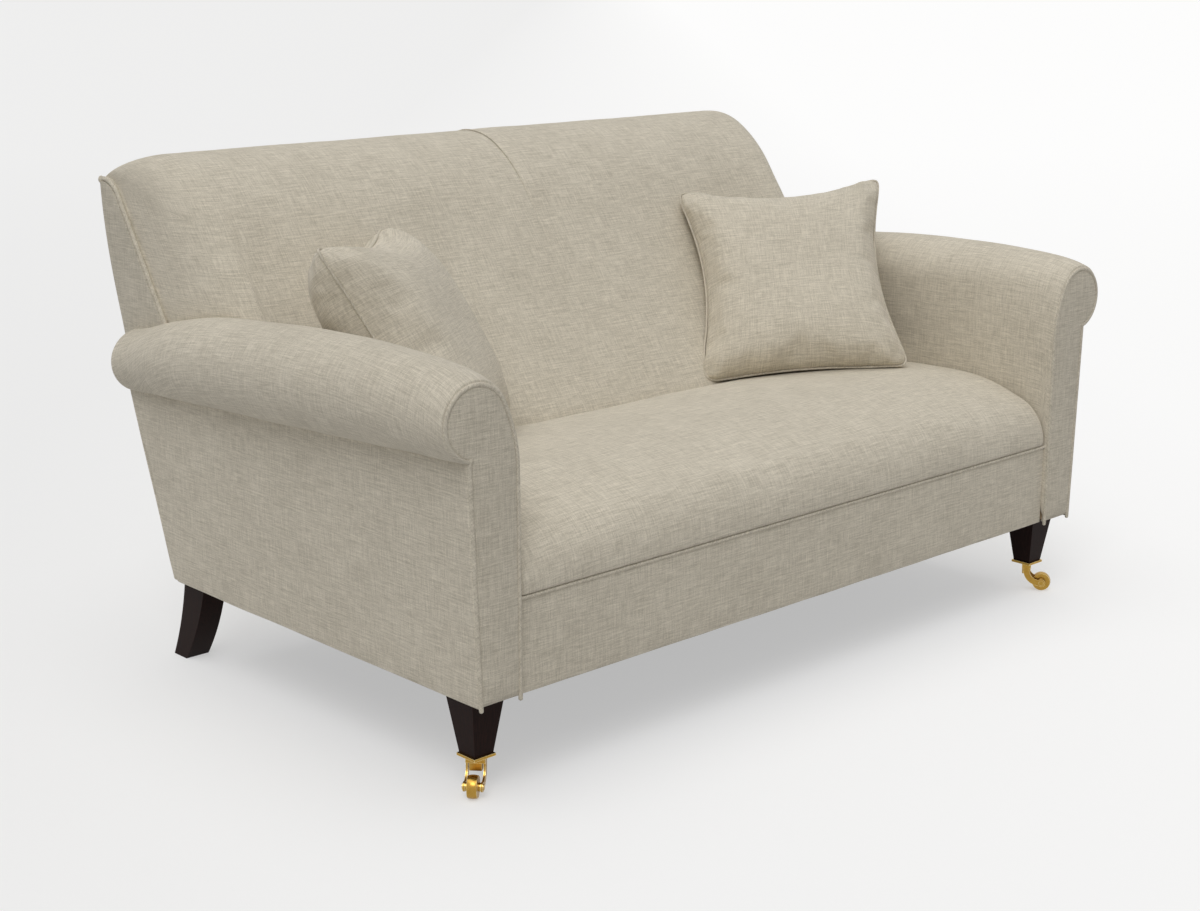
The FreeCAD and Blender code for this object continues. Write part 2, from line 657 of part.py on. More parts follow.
def build_arm_frame():
    """Shaped front boards, boards under the rolls and raked rear posts."""
    front = size.facing_start + size.facing_thickness
    outline = scroll_outline(size.facing_inset, front, size.rail_bottom)
    pair("arm_front_board", prism(outline, Vector(0, size.front_board, 0)))
    start = size.frame_front + size.fit_gap
    end = size.roll_end_depth - size.arm_board_setback
    low = size.fit_gap + size.arm_board_height

    def run(depth, below):
        return at(size.post_face, depth, crease_z(depth) - below)

    board = polygon([run(start, size.fit_gap), run(end, size.fit_gap), run(end, low), run(start, low)])
    pair("arm_top_board", prism(board, Vector(size.board, 0, 0)))
    rear_low = outside_depth(size.rail_top, size.outside_panel + size.fit_gap)
    top_rear = outside_depth(crease_z(end) - low, size.outside_panel + size.fit_gap)
    top_front = top_rear - size.rear_post_width
    foot_rear = min(rear_low, size.frame_rear)
    post = polygon([
        at(size.post_face, foot_rear - size.rear_post_width, size.rail_top),
        at(size.post_face, foot_rear, size.rail_top),
        at(size.post_face, top_rear, crease_z(top_rear) - low - size.fit_gap),
        at(size.post_face, top_front, crease_z(top_front) - low - size.fit_gap),
    ])
    pair("arm_rear_post", prism(post, Vector(size.board, 0, 0)))


def web_depth():
    """Level depth of the leaning webbing with its clearance."""
    return (size.webbing_thickness + size.fit_gap) / math.cos(math.radians(size.inside_rake))


def cheek_wire(x):
    """Plywood profile that gives the back its wedge."""
    lining = size.outside_panel + size.fit_gap
    front = size.back_pad + size.fit_gap + web_depth()
    bottom = size.rail_top
    step = size.spring_rail_depth + size.board + size.fit_gap
    ledge = size.seam_height + size.fit_gap
    high = size.cheek_height
    edges = bow_edges(x, bottom, high, lining)
    corners = [
        at(x, outside_depth(bottom, lining), bottom),
        at(x, step, bottom),
        at(x, step, ledge),
        at(x, inside_depth(ledge, front), ledge),
        at(x, inside_depth(high, front), high),
        at(x, outside_depth(high, lining), high),
    ]
    edges += [Part.LineSegment(a, b).toShape() for a, b in zip(corners, corners[1:])]
    return Part.Wire(edges)


WEB_COUNT = 4


def build_back_frame():
    thickness = Vector(size.board, 0, 0)
    inner = size.arm_face - size.cheek_inset - size.board
    pair("back_cheek", prism(cheek_wire(inner), thickness))
    rail = block("back_top_rail", ("-(arm_face - cheek_inset - board)", "arm_face - cheek_inset - board"),
                 ("top_rail_depth", "top_rail_depth + board"),
                 ("cheek_height - top_rail_height", "cheek_height"))
    doc.recompute()
    centre = prism(cheek_wire(-size.board / 2), thickness).cut(rail.Shape)
    feature("back_centre_cheek", centre)
    bands = []
    reach = size.arm_face - size.cheek_inset
    lean = Rotation(Vector(1, 0, 0), -size.inside_rake)
    lowest = size.seam_height + size.web_foot
    highest = size.cheek_height - size.web_drop
    for index in range(WEB_COUNT):
        height = lowest + (highest - lowest) * index / (WEB_COUNT - 1)
        band = Part.makeBox(2 * reach, size.webbing_thickness, size.webbing_width)
        place = at(-reach, inside_depth(height, size.back_pad + size.fit_gap), height)
        band.Placement = Placement(place, lean)
        bands.append(band)
    feature("back_webbing", Part.makeCompound(bands))


# Seat springing

SPRING_COUNT = 7


class Bent:
    """A level wire grown from a point by straight runs and turns."""

    def __init__(self, point, heading):
        self.point = point
        self.heading = heading
        self.edges = []

    def ahead(self, length):
        angle = math.radians(self.heading)
        end = self.point + Vector(length * math.cos(angle), length * math.sin(angle), 0)
        self.edges.append(Part.LineSegment(self.point, end).toShape())
        self.point = end

    def turn(self, degrees, radius):
        side = math.copysign(1, degrees)
        outward = math.radians(self.heading - side * 90)
        centre = self.point - Vector(math.cos(outward), math.sin(outward), 0) * radius

        def on(share):
            angle = outward + math.radians(degrees) * share
            return centre + Vector(math.cos(angle), math.sin(angle), 0) * radius

        self.edges.append(Part.Arc(self.point, on(0.5), on(1.0)).toShape())
        self.point = on(1.0)
        self.heading += degrees


def spring_path(x, front, rear, height):
    """Zigzag wire from one clip to the other: cross bars joined by half turns."""
    bend = size.spring_bend
    half = size.spring_half
    pitch = 2 * bend
    bars = int((rear - front) / pitch) - 1
    lead = (rear - front - (bars - 1) * pitch) / 2 - bend
    wire = Bent(Vector(x, front, height), 90.0)
    wire.ahead(lead)
    wire.turn(-90.0, bend)
    wire.ahead(half - bend)
    side = 1
    for _ in range(bars - 2):
        wire.turn(side * 180.0, bend)
        wire.ahead(2 * half)
        side = -side
    wire.turn(side * 180.0, bend)
    wire.ahead(half - bend)
    wire.turn(-side * 90.0, bend)
    wire.ahead(lead)
    return wire.edges


def build_springs():
    front = depth_at(size.frame_front + size.board)
    rear = depth_at(size.spring_rail_depth)
    height = size.rail_top - size.spring_drop
    reach = size.clip_length
    springs = []
    clips = []
    for index in range(SPRING_COUNT):
        x = size.seat_width * ((index + 0.5) / SPRING_COUNT - 0.5)
        if abs(x) < size.board:
            x = 0.0
        springs.append(tube(spring_path(x, front + reach, rear - reach, height), size.spring_wire))
        for face in (front, rear - reach):
            corner = Vector(x - size.clip_width / 2, face, height - size.clip_height / 2)
            clips.append(Part.makeBox(size.clip_width, reach, size.clip_height, corner))
    feature("seat_springs", Part.makeCompound(springs))
    feature("spring_clips", Part.makeCompound(clips))


# Upholstery

def build_arm_covers():
    pocket_wire = scroll_outline(size.facing_inset - size.fit_gap, -size.board, 0.0)
    pocket_solid = prism(pocket_wire, Vector(0, size.board + size.frame_front + size.fit_gap, 0))
    start = size.piping_radius + size.fit_gap
    pair("arm_pad", arm_solid(start).cut(pocket_solid).cut(behind_lining()))
    facing = scroll_outline(size.facing_inset, size.facing_start, size.base_height)
    pair("arm_facing", prism(facing, Vector(0, size.facing_thickness, 0)))
    pair("outside_arm", outside_arm(start).cut(pocket_solid))
    pair("arm_piping", arm_piping())


def behind_lining():
    """Space behind the raked outside back, up to the underside of the roll."""
    lining = size.outside_panel + size.fit_gap
    high = crease_z(size.roll_end_depth)
    low = size.base_height
    points = [at(0, outside_depth(low, lining), low), at(0, outside_depth(high, lining), high),
              at(0, 2 * size.sofa_depth, high), at(0, 2 * size.sofa_depth, low)]
    return prism(polygon(points), Vector(size.side_face, 0, 0))


def outside_arm(start):
    """Leaning outer panel under the roll, raked and rounded at its rear end."""
    corner = size.arm_rear_corner
    bottom = size.base_height
    inner = size.side_face + size.fit_gap
    rake = math.radians(size.outside_rake)

    def under(depth):
        return at(inner, depth, crease_z(depth) - size.fit_gap)

    slope = tangent(size.outside_rake)
    fall = tangent(size.crease_fall)
    meet_z = (crease_z(size.back_foot) - size.fit_gap + fall * slope * bottom) / (1 + fall * slope)
    meet = at(inner, outside_depth(meet_z), meet_z)
    foot = outside_depth(bottom)
    flat = at(inner, foot - corner, bottom)
    rear = at(inner, foot + corner * math.sin(rake), bottom + corner * math.cos(rake))
    half_turn = (math.pi / 2 + rake) / 2
    radius = corner * math.tan(half_turn)
    centre = flat + Vector(0, 0, radius)
    bend = centre + Vector(0, math.cos(half_turn), -math.sin(half_turn)) * radius
    front_low = at(inner, start, bottom)
    edges = [
        Part.LineSegment(front_low, flat).toShape(), Part.Arc(flat, bend, rear).toShape(),
        Part.LineSegment(rear, meet).toShape(), Part.LineSegment(meet, under(start)).toShape(),
        Part.LineSegment(under(start), front_low).toShape(),
    ]
    slab = prism(Part.Wire(edges), Vector(size.arm_width, 0, 0))
    high = size.roll_crown_height
    middle = size.post_face
    lean = polygon([Vector(x, -size.sofa_depth, z) for x, z in
                    ((middle, 0.0), (outer_x(0.0), 0.0), (outer_x(high), high), (middle, high))])
    return slab.common(prism(lean, Vector(0, 2 * size.sofa_depth, 0)))


def tube(edges, radius):
    """Round piping along joined edges."""
    path = Part.Wire(edges)
    first = edges[0]
    start = first.Vertexes[0].Point
    direction = first.tangentAt(first.FirstParameter)
    circle = Part.Wire(Part.Circle(start, direction, radius).toShape())
    return path.makePipeShell([circle], True, False)


def arm_piping():
    """Piping up the inner edge and over the scroll, and down the outer edge from the notch."""
    inset = size.piping_radius
    circle = facing_circle()
    start, first, over, top = arm_curves(circle, 0.0, inset)
    notch_x, notch_z = notch(inset)
    end = at(notch_x, 0.0, notch_z)
    tip = size.base_height - size.piping_tail
    foot = at(size.arm_face + inset, 0.0, tip)
    rise = Part.LineSegment(foot, start).toShape()
    scroll = tube([rise, first, over, roll_side(circle, 0.0, inset, end)], inset)
    low = at(outer_x(tip) - inset, 0.0, tip)
    edge = tube([Part.LineSegment(end, low).toShape()], inset)
    return scroll.fuse(edge).fuse(Part.makeSphere(inset, end))


# Stations of the seat across the sofa, and the share of the crown that each part of its section has
SEAT_STATIONS = [-1.0, -0.93, -0.8, -0.5, 0.0, 0.5, 0.8, 0.93, 1.0]
SEAT_CROWN_SQUARENESS = 6
SHOULDER_CROWN = 0.3
SLOPE_CROWN = 0.7
SETTLE_CROWN = 0.8


def build_seat():
    block("front_border", ("-arm_face + 2 * fit_gap", "arm_face - 2 * fit_gap"),
          ("border_setback", "frame_front"), ("base_height", "seam_height - fit_gap"))
    block("seat_platform", ("-arm_face + 2 * fit_gap", "arm_face - 2 * fit_gap"),
          ("frame_front", "spring_rail_depth + board"), ("rail_top", "rail_top + platform_thickness"))
    reach = size.arm_face - 2 * size.fit_gap
    feature("seat_pad", Part.makeLoft([seat_section(share * reach, share) for share in SEAT_STATIONS], True))
    radius = size.border_piping_radius
    place = at(-reach, size.border_setback - radius - size.fit_gap, size.seam_height - radius)
    feature("border_piping", Part.makeCylinder(radius, 2 * reach, place, Vector(1, 0, 0)))


def seat_section(x, share):
    """Closed section of the sprung seat: nose, shoulder, top and the slope to the back."""
    seam = size.seam_height + size.fit_gap
    crown = size.seat_crown * (1 - share ** SEAT_CROWN_SQUARENESS)
    front = size.border_setback

    def rise(depth, height):
        return at(x, depth, size.seam_height + height)

    start = at(x, front, seam)
    nose = rise(front + size.seat_nose_setback, size.seat_nose_height)
    shoulder = rise(size.seat_shoulder_depth, size.seat_shoulder_height + SHOULDER_CROWN * crown)
    slope = rise((size.seat_shoulder_depth + size.seat_top_depth) / 2,
                 size.seat_top_height - size.seat_slope_drop + SLOPE_CROWN * crown)
    top = rise(size.seat_top_depth, size.seat_top_height + crown)
    rear_z = size.seam_height + size.seat_rear_height
    rear = at(x, inside_depth(rear_z, -2 * size.fit_gap), rear_z)
    settle = rise((size.seat_top_depth + size.seat_depth) / 2,
                  size.seat_top_height - size.seat_settle_drop + SETTLE_CROWN * crown)
    low = at(x, inside_depth(seam, -2 * size.fit_gap), seam)
    edges = [
        Part.Arc(start, nose, shoulder).toShape(), Part.Arc(shoulder, slope, top).toShape(),
        Part.Arc(top, settle, rear).toShape(), Part.LineSegment(rear, low).toShape(),
        Part.LineSegment(low, start).toShape(),
    ]
    return Part.Wire(edges)


# Where the pull of the centre seam is nearly spent: share of its width, share of its depth
PULL_EASE = (0.4, 0.2)
WING_STATIONS = [0.0, 0.35, 0.6, 0.8, 0.93, 1.0]
WING_SQUARENESS = 2.3


def build_back_covers():
    reach = size.arm_face - 2 * size.fit_gap
    width = size.seam_pull_width
    run = prism(back_section(width, 0.0), Vector(reach - width, 0, 0))
    pulled = [
        back_section(size.curve_gap, size.seam_pull),
        back_section(PULL_EASE[0] * width, PULL_EASE[1] * size.seam_pull),
        back_section(width, 0.0),
    ]
    pair("inside_back", run.fuse(Part.makeLoft(pulled, True, True)))

    wing = []
    start = size.arm_face - size.fit_gap
    for share in WING_STATIONS:
        full = (1 - share ** WING_SQUARENESS) ** (1 / WING_SQUARENESS)
        wing.append(wing_section(start + share * size.wing_width, full, size.wing_foot_height))
    grown = arm_solid(size.piping_radius, size.curve_gap)
    pair("back_wing", Part.makeLoft(wing, True).cut(grown))

    pair("back_side_panel", side_panel(grown))
    pair("back_piping", back_piping())
    build_outside_back()


def side_panel(grown):
    """Flat boxing on the side of the back, standing on the roll and closing behind it."""
    x = size.side_face + size.fit_gap
    thickness = size.arm_width - size.arm_pad - size.board - size.fit_gap
    inset = 2 * size.piping_radius + size.fit_gap
    points = end_profile(inset)
    ledge = size.wing_foot_height
    behind = size.roll_end_depth + 2 * size.fit_gap
    low = crease_z(size.roll_end_depth) + size.fit_gap
    shift = inset / math.cos(math.radians(size.end_rake))
    base = end_profile()[0]
    foot = base[0] - (base[1] - ledge) * tangent(size.end_rake) + shift
    place = [at(x, depth, z) for depth, z in points]
    top_z = points[4][1]
    high = size.back_seam_height - inset
    edges = [Part.LineSegment(at(x, foot, ledge), place[0]).toShape()]
    edges.append(Part.Arc(place[0], place[2], place[4]).toShape())
    rear_top = at(x, outside_depth(high), high)
    edges.append(Part.LineSegment(at(x, points[4][0], top_z), rear_top).toShape())
    edges += bow_edges(x, low, high, 0.0)
    corners = [at(x, outside_depth(low), low), at(x, behind, low), at(x, behind, ledge), at(x, foot, ledge)]
    edges += [Part.LineSegment(a, b).toShape() for a, b in zip(corners, corners[1:])]
    return prism(Part.Wire(edges), Vector(thickness, 0, 0)).cut(grown)


def back_piping():
    """Piping from the arm up the front edge of the side panel to the top rear corner."""
    radius = size.piping_radius
    x = size.side_face + size.fit_gap + radius
    points = end_profile(radius)
    base = end_profile()[0]
    low = size.crease_height + size.roll_rear_rise - size.piping_sink
    shift = radius / math.cos(math.radians(size.end_rake))
    foot = at(x, base[0] - (base[1] - low) * tangent(size.end_rake) + shift, low)
    place = [at(x, depth, z) for depth, z in points]
    corner = at(x, size.back_top - size.fit_gap, points[4][1])
    edges = [
        Part.LineSegment(foot, place[0]).toShape(), Part.Arc(place[0], place[2], place[4]).toShape(),
        Part.LineSegment(place[4], corner).toShape(),
    ]
    return tube(edges, radius)


def build_outside_back():
    """Thin panel down the whole rear of the sofa."""
    x = -size.side_face
    high = size.back_seam_height
    low = size.rail_bottom + size.fit_gap
    outer = bow_edges(x, low, high, 0.0)
    inner = bow_edges(x, low, high, size.outside_panel)
    panel = size.outside_panel
    top = Part.LineSegment(at(x, outside_depth(high, panel), high), at(x, outside_depth(high), high))
    foot = Part.LineSegment(at(x, outside_depth(low), low), at(x, outside_depth(low, panel), low))
    wire = Part.Wire(Part.__sortEdges__([top.toShape()] + outer + [foot.toShape()] + inner))
    feature("outside_back", prism(wire, Vector(2 * size.side_face, 0, 0)))


def build_dust_cover():
    reach = "leg_half_spacing - leg_top / 2 - dust_cover_gap"
    block("dust_cover", ("-(%s)" % reach, reach), ("frame_front", "frame_rear - dust_cover_inset"),
          ("rail_bottom - fit_gap - dust_cover_thickness", "rail_bottom - fit_gap"))


# Legs and their bolts

SCREW_CORNERS = [(-1, -1), (-1, 1), (1, -1), (1, 1)]


def screw_holes():
    """Clearance holes for the four castor screws, as expressions."""
    return [("%d * screw_reach" % a, "%d * screw_reach" % b, "screw_radius + running_gap")
            for a, b in SCREW_CORNERS]


def build_front_leg(side, sign):
    """Square tapered leg, drilled for its bolt above and the castor below."""
    body = doc.addObject("PartDesign::Body", "front_leg_" + side)
    foot = square_sketch(body, "foot_" + side, "leg_foot", "foot_height")
    head = square_sketch(body, "head_" + side, "leg_top", "rail_bottom")
    taper = body.newObject("PartDesign::AdditiveLoft", "taper_" + side)
    taper.Profile = foot
    taper.Sections = [head]
    body.Tip = taper
    doc.recompute()
    bolt = circle_sketch(body, "bolt_" + side, [("0", "0", "bolt_radius + running_gap")], "rail_bottom")
    pocket(body, "bolt_hole_" + side, bolt, "bolt_in_leg + bolt_end_gap", False)
    screws = circle_sketch(body, "screws_" + side, screw_holes(), "foot_height")
    pocket(body, "screw_holes_" + side, screws, "screw_length", True)
    body.setExpression(".Placement.Base.x", bound("%d * leg_half_spacing" % sign))
    body.setExpression(".Placement.Base.y", bound("front_shift + leg_depth"))
    keep(body, "front_leg_" + side)


# Middle of the rear leg's curve: share of its height, share of its kick
REAR_LEG_BEND = (0.55, 0.32)


def rear_leg_shape():
    """Sabre leg: flat sided, curving back to the foot."""
    x = size.rear_leg_inset - size.rear_leg_width / 2
    top_rear = size.back_foot + size.rear_leg_overhang
    top_front = top_rear - size.rear_leg_top
    foot_rear = top_rear + size.rear_leg_kick
    foot_front = foot_rear - size.rear_leg_foot
    high = size.rail_bottom
    middle = REAR_LEG_BEND[0] * high

    def edge(top, foot):
        middle_depth = top + (foot - top) * REAR_LEG_BEND[1]
        return Part.Arc(at(x, top, high), at(x, middle_depth, middle), at(x, foot, 0.0)).toShape()

    rear = edge(top_rear, foot_rear)
    front = edge(top_front, foot_front)
    head = Part.LineSegment(at(x, top_front, high), at(x, top_rear, high)).toShape()
    sole = Part.LineSegment(at(x, foot_rear, 0.0), at(x, foot_front, 0.0)).toShape()
    wire = Part.Wire(Part.__sortEdges__([head, rear, sole, front]))
    return prism(wire, Vector(size.rear_leg_width, 0, 0))


def rear_bolt(sign, radius, extra):
    depth = size.frame_rear - size.board / 2
    base = at(sign * size.rear_leg_inset, depth, size.rail_bottom - size.bolt_in_leg - extra)
    return Part.makeCylinder(radius, size.bolt_in_leg + size.bolt_in_frame + 2 * extra, base)


def build_legs():
    for side, sign in (("right", 1), ("left", -1)):
        build_front_leg(side, sign)
    hole = rear_bolt(1, size.bolt_radius + size.running_gap, size.bolt_end_gap)
    pair("rear_leg", rear_leg_shape().cut(hole))
    bolts = []
    for side, sign in (("right", 1), ("left", -1)):
        bolts.append(rod("front_bolt_" + side, "bolt_radius", "rail_bottom - bolt_in_leg",
                         "rail_bottom + bolt_in_frame", "%d * leg_half_spacing" % sign, "leg_depth"))
        bolts.append(feature("rear_bolt_" + side, rear_bolt(sign, size.bolt_radius, 0.0), kept=False))
    group("leg_bolts", bolts)


# Castors

def build_plate(side, sign):
    """Square brass plate under the leg with screw holes and the swivel pin hole."""
    body = doc.addObject("PartDesign::Body", "castor_plate_" + side)
    square = square_sketch(body, "plate_square_" + side, "plate_side", "plate_height")
    pad = body.newObject("PartDesign::Pad", "plate_pad_" + side)
    pad.Profile = square
    pad.setExpression("Length", bound("plate_thickness"))
    body.Tip = pad
    doc.recompute()
    holes = screw_holes() + [("0", "0", "pintle_radius + running_gap")]
    sketch = circle_sketch(body, "plate_holes_" + side, holes, "plate_height")
    pocket(body, "plate_drilling_" + side, sketch, "plate_thickness", True)
    body.setExpression(".Placement.Base.x", bound("%d * leg_half_spacing" % sign))
    body.setExpression(".Placement.Base.y", bound("front_shift + leg_depth"))
    return body


def swivel_place(side, sign):
    """Where a castor stands: its swivel axis, turned to the wheel's trail."""
    angle = size.right_trail_angle if sign > 0 else size.left_trail_angle
    return Placement(at(sign * size.leg_half_spacing, size.leg_depth, 0.0), Rotation(Vector(0, 0, 1), angle))


def horn_shape():
    """Two curved arms under a bridge; +X is the trail, Y the axle, floor at Z 0."""
    top = size.plate_height - size.swivel_gap
    bridge_low = top - size.horn_bridge
    inner = size.wheel_width / 2 + size.horn_gap
    outer = inner + size.horn_arm
    half = size.horn_width / 2
    bend_top = bridge_low - size.horn_neck
    drop = bend_top - size.wheel_radius
    bend = (size.trail ** 2 + drop ** 2) / (2 * size.trail)
    centre = Vector(bend, inner, bend_top)
    finish = math.atan2(-drop, size.trail - bend)
    middle = (-math.pi + finish) / 2

    def on(radius, angle):
        return centre + Vector(radius * math.cos(angle), 0, radius * math.sin(angle))

    outside = [on(bend + half, math.pi), on(bend + half, middle), on(bend + half, finish)]
    inside = [on(bend - half, finish), on(bend - half, middle), on(bend - half, math.pi)]
    high_out = Vector(outside[0].x, inner, top)
    high_in = Vector(inside[2].x, inner, top)
    edges = [
        Part.LineSegment(high_in, high_out).toShape(), Part.LineSegment(high_out, outside[0]).toShape(),
        Part.Arc(*outside).toShape(), Part.LineSegment(outside[2], inside[0]).toShape(),
        Part.Arc(*inside).toShape(), Part.LineSegment(inside[2], high_in).toShape(),
    ]
    arm = prism(Part.Wire(edges), Vector(0, size.horn_arm, 0))
    axle_place = Vector(size.trail, inner, size.wheel_radius)
    arm = arm.fuse(Part.makeCylinder(size.axle_boss_radius, size.horn_arm, axle_place, Vector(0, 1, 0)))
    other = arm.mirror(Vector(0, 0, 0), Vector(0, 1, 0))
    bridge = Part.makeBox(size.horn_bridge_length, 2 * outer, size.horn_bridge,
                          Vector(-size.horn_bridge_length / 2, -outer, bridge_low))
    horn = bridge.fuse(arm).fuse(other)
    swivel = Part.makeCylinder(size.pintle_radius + size.running_gap, 3 * size.horn_bridge,
                               Vector(0, 0, bridge_low - size.horn_bridge))
    axle = Part.makeCylinder(size.axle_radius + size.running_gap, 3 * outer,
                             Vector(size.trail, -1.5 * outer, size.wheel_radius), Vector(0, 1, 0))
    return horn.cut(swivel).cut(axle).removeSplitter()


def axle_shape():
    """Plain pin with a riveted head outside each horn arm."""
    outer = size.wheel_width / 2 + size.horn_gap + size.horn_arm + size.running_gap

    def turned(radius, start, length):
        place = Vector(size.trail, start, size.wheel_radius)
        return Part.makeCylinder(radius, length, place, Vector(0, 1, 0))

    pin = turned(size.axle_radius, -outer - size.axle_head, 2 * (outer + size.axle_head))
    ends = (-outer - size.axle_head, outer)
    heads = [turned(size.axle_head_radius, start, size.axle_head) for start in ends]
    return pin.fuse(heads).removeSplitter()


def build_wheel(side, sign):
    """Turned wheel with a crowned tread and a hub that spaces it between the arms."""
    body = doc.addObject("PartDesign::Body", "castor_wheel_" + side)
    sketch = sketch_on(body, "wheel_profile_" + side, "XY_Plane")
    bore = size.axle_radius + size.running_gap
    hub = size.wheel_width / 2 + size.horn_gap - size.side_gap
    half = size.wheel_width / 2
    shoulder = size.wheel_radius - size.tread_crown
    corners = [(bore, -hub), (size.hub_radius, -hub), (size.hub_radius, -half), (shoulder, -half)]
    corners += [(x, -y) for x, y in reversed(corners)]
    points = [Vector(x, y, 0) for x, y in corners]
    for index in (0, 1, 2):
        sketch.addGeometry(Part.LineSegment(points[index], points[index + 1]), False)
    sketch.addGeometry(Part.Arc(points[3], Vector(size.wheel_radius, 0, 0), points[4]), False)
    for index in (4, 5, 6, 7):
        sketch.addGeometry(Part.LineSegment(points[index], points[(index + 1) % 8]), False)
    turning = body.newObject("PartDesign::Revolution", "wheel_turning_" + side)
    turning.Profile = sketch
    turning.ReferenceAxis = (sketch, ["V_Axis"])
    turning.Angle = 360.0
    body.Tip = turning
    axle = Placement(Vector(size.trail, 0, size.wheel_radius), Rotation())
    body.Placement = swivel_place(side, sign).multiply(axle)
    keep(body, "castor_wheel_" + side)


def pintle_shape():
    top = size.plate_height + size.plate_thickness - size.running_gap
    low = size.plate_height - size.swivel_gap - size.horn_bridge - size.swivel_gap
    stem = Part.makeCylinder(size.pintle_radius, top - low, Vector(0, 0, low))
    head = Part.makeCylinder(size.pintle_head_radius, size.pintle_head, Vector(0, 0, low - size.pintle_head))
    return stem.fuse(head)


def screw_shape():
    """Four wood screws through the plate into the leg."""
    shapes = []
    for a, b in SCREW_CORNERS:
        base = Vector(size.screw_reach * a, size.screw_reach * b, size.plate_height)
        shapes.append(Part.makeCylinder(size.screw_radius, size.screw_length, base))
    return Part.makeCompound(shapes)


def build_castors():
    plates = []
    pintles = []
    screws = []
    for side, sign in (("right", 1), ("left", -1)):
        plates.append(build_plate(side, sign))
        upright = Placement(at(sign * size.leg_half_spacing, size.leg_depth, 0.0), Rotation())
        pintles.append(feature("castor_pintle_" + side, pintle_shape(), upright, kept=False))
        feature("castor_horn_" + side, horn_shape(), swivel_place(side, sign))
        feature("castor_axle_" + side, axle_shape(), swivel_place(side, sign))
        build_wheel(side, sign)
        screws.append(feature("plate_screws_" + side, screw_shape(), upright, kept=False))
    group("castor_plates", plates)
    group("castor_pintles", pintles)
    group("castor_screws", screws)


# Scatter cushions

# Share of the crown height, then of the half size at a corner and at mid side
CUSHION_RINGS = [(0.0, 1.0, 0.925), (0.3, 0.935, 0.885), (0.56, 0.83, 0.80), (0.76, 0.70, 0.68),
                 (0.9, 0.53, 0.52), (0.98, 0.33, 0.325), (1.0, 0.14, 0.138)]
EAR_SHARE = 0.4


def cushion_ring(height, corner, side, proud=0.0):
    """A square outline with drawn-in sides and rounded corners, eight tangent arcs."""
    half = size.cushion_size / 2
    reach = corner * half + proud
    middle = side * half + proud
    ear = min(size.cushion_ear, EAR_SHARE * corner * half) + proud
    inner = reach - ear
    lean = 2 * math.atan((reach - middle) / inner)
    radius = ear / (math.cos(lean) + math.sin(lean))
    bulge = reach - radius * math.cos(lean) + radius * math.sqrt(0.5)
    edges = []
    for quarter in range(4):
        turn = Rotation(Vector(0, 0, 1), 90 * quarter)
        points = [(reach, -inner), (middle, 0), (reach, inner), (bulge, bulge), (inner, reach)]
        place = [turn.multVec(Vector(x, y, height)) for x, y in points]
        edges.append(Part.Arc(*place[0:3]).toShape())
        edges.append(Part.Arc(*place[2:5]).toShape())
    return edges


def bent_cord(arcs, radius):
    """Round cord along level tangent arcs, each turned about the middle of its own circle."""
    cord = None
    for arc in arcs:
        start = arc.Vertexes[0].Point
        circle = arc.Curve
        heading = arc.tangentAt(arc.FirstParameter)
        profile = Part.Face(Part.Wire(Part.Circle(start, heading, radius).toShape()))
        sweep = math.degrees(arc.LastParameter - arc.FirstParameter)
        piece = profile.revolve(circle.Center, circle.Axis, sweep)
        cord = piece if cord is None else cord.fuse(piece)
    return cord.removeSplitter()


def cushion_place():
    """Leaning in the right corner of the seat, face towards the middle of the sofa."""
    turn = math.radians(size.cushion_turn)
    lean = math.radians(size.cushion_lean)
    normal = Vector(-math.sin(turn) * math.cos(lean), -math.cos(turn) * math.cos(lean), math.sin(lean))
    level = Vector(math.cos(turn), -math.sin(turn), 0)
    rotation = Rotation(level, normal.cross(level), normal, "XYZ")
    rotation = rotation.multiply(Rotation(Vector(0, 0, 1), size.cushion_tip))
    z = size.seam_height + size.seat_top_height + size.cushion_lift
    centre = at(size.arm_face - size.cushion_from_arm, inside_depth(z) - size.cushion_from_back, z)
    return Placement(centre, rotation)


def build_cushions():
    rings = []
    for share, corner, side in reversed(CUSHION_RINGS[1:]):
        rings.append(Part.Wire(cushion_ring(-share * size.cushion_rear, corner, side)))
    for share, corner, side in CUSHION_RINGS:
        rings.append(Part.Wire(cushion_ring(share * size.cushion_front, corner, side)))
    pillow = Part.makeLoft(rings, True, True)
    seam = CUSHION_RINGS[0]
    radius = size.cushion_piping_radius
    piping = bent_cord(cushion_ring(0.0, seam[1], seam[2], radius + size.fit_gap), radius)
    place = cushion_place().toMatrix()
    pair("scatter_cushion", pillow.transformed(place, True))
    pair("cushion_piping", piping.transformed(place, True))


def main():
    build_frame()
    build_arm_frame()
    build_back_frame()
    build_springs()
    build_arm_covers()
    build_seat()
    build_back_covers()
    build_dust_cover()
    build_legs()
    build_castors()
    build_cushions()
    doc.recompute()
    check_and_write()


def check_and_write():
    """Stop on any failed object or shape, then write one file for each node."""
    for obj in doc.Objects:
        if "Invalid" in obj.State or "Error" in obj.State:
            raise RuntimeError("%s did not compute: %s" % (obj.Label, obj.State))
    os.makedirs("parts", exist_ok=True)
    for obj in nodes:
        shape = obj.Shape
        if shape.isNull() or not shape.isValid():
            raise RuntimeError("%s has no valid shape" % obj.Label)
        if not shape.Solids or min(solid.Volume for solid in shape.Solids) <= 0:
            raise RuntimeError("%s is not solid" % obj.Label)
        shape.exportStep(os.path.join("parts", obj.Label + ".step"))
        print("%-24s %d solids %9.1f cm3" % (obj.Label, len(shape.Solids), shape.Volume / 1000))
    print(len(nodes), "nodes")


main()
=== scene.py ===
"""Covers, cushions, piping and finishes of a two seat roll arm sofa, built around its frame."""

import math
import bpy
from bpy.props import FloatProperty, FloatVectorProperty, IntProperty, PointerProperty
from mathutils import Matrix, Vector, noise


